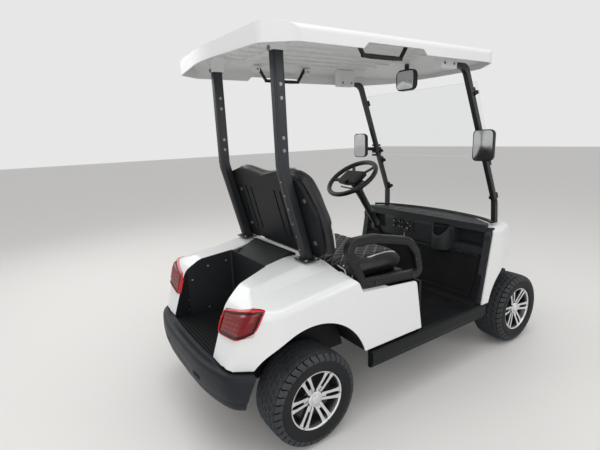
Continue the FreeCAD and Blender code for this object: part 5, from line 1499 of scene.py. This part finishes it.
# Rail: half the line and its mirror image, smoothed, with a low rounded section
def dashRail(setup):
    half = np.array(setup["rail"])
    line = np.concatenate([half[::-1], half[1:] * (-1, 1)])
    path = smoothPath(np.concatenate([line, np.full((len(line), 1), setup["railHigh"])], 1), 120)
    section = [(-0.012, -0.004), (-0.011, 0.006), (-0.006, 0.0105), (0.006, 0.0105), (0.011, 0.006), (0.012, -0.004)]
    return sweep(path, section)


# Air slots: a rounded plate with three bars on it, each set turned a little
def dashSlots(setup):
    shapes = []
    for x, y, turn in setup["slots"]:
        plates = [slab(roundedBox(0.052, 0.013, 0.012, 5), 0.8504, 0.8518)]
        for low in (-0.008, -0.001, 0.006):
            plates.append(slab([(-0.044, low), (0.044, low), (0.044, low + 0.003), (-0.044, low + 0.003)], 0.8518, 0.8530))
        shapes += [moved(plate, (x, y, 0), turn=Matrix.Rotation(turn, 3, "Z")) for plate in plates]
    return joined(shapes)


# Switches in a row: every third one is a round knob, the others are rockers, some of them in two levels
def switchRow(setup):
    knobs, marks = [], []
    y = setup["face"] + 0.0022
    for number, x in enumerate((0.222, 0.192, 0.166, 0.140, 0.112, 0.084, 0.060)):
        for z in ((0.775, 0.738) if number in (0, 2, 3, 5) else (0.757,)):
            if number % 3 == 1:
                knob = turned([(0.0004, 0.010), (0.0068, 0.010), (0.0076, 0.008), (0.0082, 0), (0.0004, 0)], 20)
                knobs.append(moved(knob, (x, y, z), turn=facingRear))
            else:
                knobs.append(moved(slab(roundedBox(0.0085, 0.0125, 0.002, 2), 0, 0.004, "xz"), (x, y, z)))
                rocker = [(-0.0060, -0.0100), (0.0060, -0.0100), (0.0060, 0.0), (-0.0060, 0.0)]
                marks.append(moved(slab(rocker, 0.0035, 0.0075, "xz"), (x, y, z)))
    return joined(knobs), joined(marks)


# Lock barrel, key blade, ring and a second key that hangs from it
def keySet(setup):
    x, z = setup["key"]
    y = setup["face"] + 0.003
    profile = [(0.0004, 0.006), (0.0090, 0.006), (0.0118, 0.004), (0.0125, 0.0), (0.0004, 0.0)]
    barrel = moved(turned(profile, 24), (x, y, z), turn=facingRear)
    blade = [(-0.0012, -0.007), (0.0012, -0.007), (0.0012, 0.007), (-0.0012, 0.007)]
    turn = np.linspace(0, 2 * np.pi, 28, endpoint=False)
    loop = np.stack([np.full_like(turn, x), y + 0.026 + 0.011 * np.cos(turn), 0.708 + 0.013 * np.sin(turn)], 1)
    ring = sweep(loop, circleSection(0.0011, 8), above=(1, 0, 0), closed=True)
    second = [(-0.0010, -0.026), (0.0010, -0.026), (0.0055, -0.006), (0.0055, 0.006), (-0.0055, 0.006), (-0.0055, -0.006)]
    return joined([
        barrel, moved(slab(blade, 0.006, 0.030, "xz"), (x, y, z)), ring,
        moved(slab(second, 0.024, 0.0256, "xz"), (0.098, y, 0.690)),
    ])


# Upright strip between kick panel and cowl: its section is carried up and shifted forward by 0.185 (z - 0.358)
def sideTrims():
    section = [(0.512, -0.578), (0.566, -0.578), (0.566, -0.552), (0.520, -0.552)]
    foot, lean = 0.358, -0.185
    rings = []
    for z in (foot, 0.500, 0.640, 0.760, 0.834):
        shift = lean * (z - foot)
        rings.append([(x, y + 0.048 + shift, z) for x, y in section])
    return bothSides(loft(rings))


knobs, rockers = switchRow(dashSet)
makePiece("dashRail", dashRail(dashSet), made["darkPlastic"], crease=50)
makePiece("dashSlots", dashSlots(dashSet), made["rimBlack"])
makePiece("dashSwitches", knobs, made["darkPlastic"])
makePiece("dashRockers", rockers, made["steel"])
makePiece("keyAndRing", keySet(dashSet), made["steel"])
makePiece("dashLowerLip", block((-0.136, -0.590, 0.6335), (0.296, -0.5665, 0.6450)), made["dashGrey"], bevel=0.002)
makePiece("sideTrims", sideTrims(), made["dashGrey"], bevel=0.002)
print("dash done")

# Tail lamps

lampSet = {
    # corners and bends of the lens's edge, in order: along the top, down the flank, along the bottom
    "top": ((-0.292, 1.078, 0.678), (-0.395, 1.063, 0.698), (-0.480, 1.034, 0.722), (-0.533, 0.985, 0.726)),
    "bottom": ((-0.283, 1.112, 0.560), (-0.351, 1.109, 0.570), (-0.456, 1.097, 0.588), (-0.520, 1.040, 0.622)),
    "outward": (-0.59, 0.80, 0.10), "size": (73, 41), "rim": 0.125, "border": 0.30, "thick": 0.008,
}


# Edge curves are blended top to bottom, the sheet is dropped on the body along -outward, then raised by its distance d from
# the edge: a round bead 0 < d < rim, a sunk band rim < d < border, and a bowed middle with crossed waves as facets
def lampShape(setup):
    rows, columns = setup["size"]
    out = np.array(setup["outward"]) / np.linalg.norm(setup["outward"])
    top, bottom = (smoothPath(setup[key], rows) for key in ("top", "bottom"))
    uu, vv = np.meshgrid(np.linspace(-1, 1, rows), np.linspace(-1, 1, columns), indexing="ij")
    corner = uu ** 4 * vv ** 4
    u = (0.5 + uu * (1 - 0.075 * corner) / 2)
    v = (0.5 + vv * (1 - 0.130 * corner) / 2)[..., None]
    at = np.linspace(0, 1, rows)
    upper, lower = (np.stack([np.interp(u, at, line[:, k]) for k in range(3)], -1) for line in (top, bottom))
    bulge = np.sin(np.pi * v) * 0.006
    inner, outer = ((1 - uu[..., None]) / 2) ** 8, ((1 + uu[..., None]) / 2) ** 8
    sheet = upper * (1 - v) + lower * v + np.array((1, 0, 0)) * bulge * inner - np.array((0, 1, 0)) * bulge * outer
    tree = nodeTree("rear_body", "tail_lamps")
    flat = np.full(sheet.shape[:2], np.nan)
    for i in range(rows):
        for j in range(columns):
            spot = tree.ray_cast(Vector(sheet[i, j] + out * 0.2), Vector(-out), 0.4)[0]
            if spot is not None:
                flat[i, j] = float((np.array(spot) - sheet[i, j]) @ out)
    flat = np.where(np.isnan(flat), np.nanmean(flat), flat)
    for _ in range(6):
        wide = np.pad(flat, 1, mode="edge")
        flat = (wide[2:, 1:-1] + wide[:-2, 1:-1] + wide[1:-1, 2:] + wide[1:-1, :-2] + 4 * flat) / 8
    d = np.minimum((1 - np.abs(uu)) * 1.75, 1 - np.abs(vv))
    rim, border = setup["rim"], setup["border"]
    bead = 0.0060 * np.sqrt(np.clip(1 - ((d - rim / 2) / (rim / 2)) ** 2, 0, 1))
    facets = 0.0010 * np.abs(np.sin(4.5 * np.pi * uu) * np.sin(3 * np.pi * vv)) * (d > border)
    middle = 0.0050 * np.clip((d - border) / 0.12, 0, 1) + facets
    high = np.where(d < rim, bead + 0.002, 0.0022 + middle)
    sink = np.where((d <= 0), -0.006, 0.0)
    points = sheet + out * (flat + high + sink)[..., None]
    form = closedSheet(points, points - out * setup["thick"])
    cell = np.where(d < rim, 0, np.where(d < border, 1, 2))[:-1, :-1].ravel()
    kinds = np.concatenate([cell, cell, np.zeros(len(form[1]) - 2 * len(cell), int)])
    return form, kinds


lampForm, lampZones = lampShape(lampSet)
# The bead's finish carries painted light, a weak red emission
lampFinishes = [made["beadRedPaintedGlow"], made["redDark"], made["redLens"]]
lampForm = bothSides(lampForm)
lamps = makePiece("tailLampLenses", lampForm, lampFinishes, "chassis", ("tail_lamps",), mend=False, crease=50)
lamps.data.polygons.foreach_set("material_index", np.tile(lampZones, 2).astype(np.int32))
print("tail lamps done")


# Shoulder of the deck: at each y a cubic curve runs from the deck's edge, where it is level, out to the flank, where it takes the
# flank's slope. Both heights are read by dropping lines, and near its two ends the strip sinks into the body
ridgeSet = {
    "front": 0.560, "back": 0.985, "step": 0.008, "outer": 0.430, "fade": 0.050,
    "probes": (0.342, 0.372), "level": 0.0008,  # where the deck's edge is looked for, and how level the deck counts as
    "proud": 0.0005, "sunk": 0.0006, "thick": 0.004,
}


def deckRidge(setup):
    tree = nodeTree("rear_body")
    front, back, step, outer = (setup[key] for key in ("front", "back", "step", "outer"))

    def heights(across, y):
        spots = [tree.ray_cast(Vector((x, y, 1.2)), Vector((0, 0, -1)))[0] for x in across]
        return np.array([np.nan if spot is None else spot.z for spot in spots])

    share = np.linspace(0, 1, 15)
    probes = np.arange(*setup["probes"], 0.001)
    rings = []
    for y in np.arange(front, back + 0.001, step):
        deck = heights((0.340,), y)[0]
        level = np.abs(heights(probes, y) - deck) < setup["level"]
        low = heights((outer - 0.008, outer), y)
        if np.isnan(deck) or np.isnan(low).any() or not level.any():
            continue
        edge = probes[level].max()
        wide = outer - edge
        fall = (low[1] - low[0]) / 0.008 * wide
        high = deck * (2 * share**3 - 3 * share**2 + 1) + low[1] * (3 * share**2 - 2 * share**3) + fall * (share**3 - share**2)
        across = np.concatenate(([edge - 0.010], edge + wide * share))
        high = np.concatenate(([deck], high)) + setup["proud"]
        ends = np.clip(min(y - front, back - y) / setup["fade"], 0, 1)
        calm = ends ** 2 * (3 - 2 * ends)
        skin = heights(across, y)
        skin = np.where(np.isnan(skin), high, skin)
        high = skin + (high - skin) * calm - 0.0008 * (1 - calm)
        high[0], high[-1] = deck - setup["sunk"], low[1] - setup["sunk"]
        top = [(x, y, z) for x, z in zip(across, high)]
        rings.append(top + [(x, y, z - setup["thick"]) for x, _, z in top[::-1]])
    return bothSides(loft(rings))


makePiece("deckRidges", deckRidge(ridgeSet), made["white"], "chassis", crease=70)


archSet = {
    "rear": (0.775, 0.282), "front": (-0.895, 0.282),  # y, z of each arch's middle
    "probe": 0.3245, "outer": 0.3212, "inner": 0.3192, "panel": 0.3195,  # radii
    "panelAt": (0.3795, 0.3825),
}


# Dark skin inside each wheel arch: its outer end at each angle is where a line just above the arch meets the body's flank
def archSkin(setup, name, centre, inner, low=16, high=164):
    tree = nodeTree(name)
    y0, z0 = centre
    near, far = setup["inner"], setup["outer"]
    found = []
    for degrees in range(low, high + 1, 2):
        ahead = np.array((math.cos(math.radians(degrees)), math.sin(math.radians(degrees))))
        y, z = np.array((y0, z0)) + ahead * setup["probe"]
        spot = tree.ray_cast(Vector((0.9, y, z)), Vector((-1, 0, 0)), 0.5)[0]
        if spot is not None:
            found.append((spot.x, ahead))
    ends = np.array([x for x, _ in found])
    wide = np.pad(ends, 2, mode="edge")
    calm = np.median([wide[k:k + len(ends)] for k in range(5)], axis=0)
    rings = []
    for x, (_, ahead) in zip(np.minimum(ends, calm) - 0.004, found):
        corners = ((x, far), (x, near), (inner, near), (inner, far))
        rings.append([(across, y0 + ahead[0] * radius, z0 + ahead[1] * radius) for across, radius in corners])
    return bothSides(loft(rings))


# Splash panel inside each rear wheel: the arch's circle cut off level, from 9 to 171 degrees
def archBacks(setup):
    turn = np.radians(np.linspace(9, 171, 48))
    y, z = setup["rear"]
    outline = np.stack([y + setup["panel"] * np.cos(turn), z + setup["panel"] * np.sin(turn)], 1)
    return bothSides(slab(outline, *setup["panelAt"], "yz"))


archForms = [
    archSkin(archSet, "rear_body", archSet["rear"], 0.380),
    archSkin(archSet, "front_cowl", archSet["front"], 0.400, 16, 120),
    archBacks(archSet),
]
makePiece("archSkins", joined(archForms), made["plastic"])
print("deck and arches done")


# Kick panel: sheet on the toe board, 5 mm high less 3.2 mm exp(-(d / 4.5 mm)^2), d from a frame line, and less 1.6 mm
# exp(-(d / 3 mm)^2), d from upright grooves in the field
def kickPanel():
    foot, along, out = np.array((-0.472, 0.352)), np.array((-0.331, 0.944)), np.array((0.944, 0.331))
    x = np.linspace(-0.505, 0.505, 150)[:, None] * np.ones((1, 70))
    s = np.ones((150, 1)) * np.linspace(0.040, 0.312, 70)[None, :]
    edge = np.minimum(np.minimum(x + 0.475, 0.475 - x), np.minimum(s - 0.062, 0.292 - s))
    rib = np.abs((x + 0.6) % 0.155 - 0.0775)
    high = 0.0050 - 0.0032 * np.exp(-(edge / 0.0045) ** 2) - 0.0016 * np.exp(-((rib - 0.030) / 0.003) ** 2) * (edge > 0.03)
    levels = [[foot[k] + along[k] * s + out[k] * level for k in (0, 1)] for level in (high, 0.0008)]
    top, back = (np.stack([x, y, z], -1) for y, z in levels)
    return closedSheet(top, back)


# Floor mat: lengthwise ribs, 2 mm |sin(pi x / 24 mm)|^4 high inside a plain border
def floorMat():
    x = np.linspace(-0.490, 0.490, 420)[:, None] * np.ones((1, 6))
    y = np.ones((420, 1)) * np.array([-0.440, -0.436, -0.405, 0.010, 0.036, 0.040])[None, :]
    inside = (np.abs(x) < 0.465) * ((y > -0.41) & (y < 0.02))
    high = 0.0015 + 0.0020 * np.abs(np.sin(np.pi * x / 0.024)) ** 4 * inside
    return closedSheet(np.stack([x, y, 0.3525 + high], -1), np.stack([x, y, np.full_like(x, 0.3523)], -1))


makePiece("kickPanel", kickPanel(), made["mat"], crease=50)
makePiece("floorMat", floorMat(), made["mat"], crease=50)


# Middle mirror's glass on the rear face of its shell
def middleGlass(setup):
    spots, _ = dropOnto(nodeTree("centre_mirror"), [(0, 0, setup["centre"][2])], (0, -1, 0))
    shifted = dict(setup, centre=(0, spots[0][1] - setup["depth"] / 2 - 0.0005, setup["centre"][2]))
    return mirrorGlass(shifted)


makePiece("middleMirrorGlass", middleGlass(mirrorSet["middle"]), made["mirror"], "chassis")


# Rubber blocks that hold the screens, in front of and behind the glass
def screenBlocks():
    slope = 0.4007  # of the screen, along over height
    lean = Matrix.Rotation(-math.atan(slope), 3, "X")
    shapes = []
    for z in (1.215, 1.290, 1.640, 1.000):
        for low, high in ((0.003, 0.016), (-0.016, -0.006)):
            pad = slab(roundedBox(0.017, 0.011, 0.004, 3), low, high, "xz")
            shapes.append(moved(pad, (0.452, -0.7686 + slope * (z - 0.974), z), turn=lean))
    return bothSides(joined(shapes))


makePiece("screenBlocks", screenBlocks(), made["darkPlastic"])
print("cabin details done")
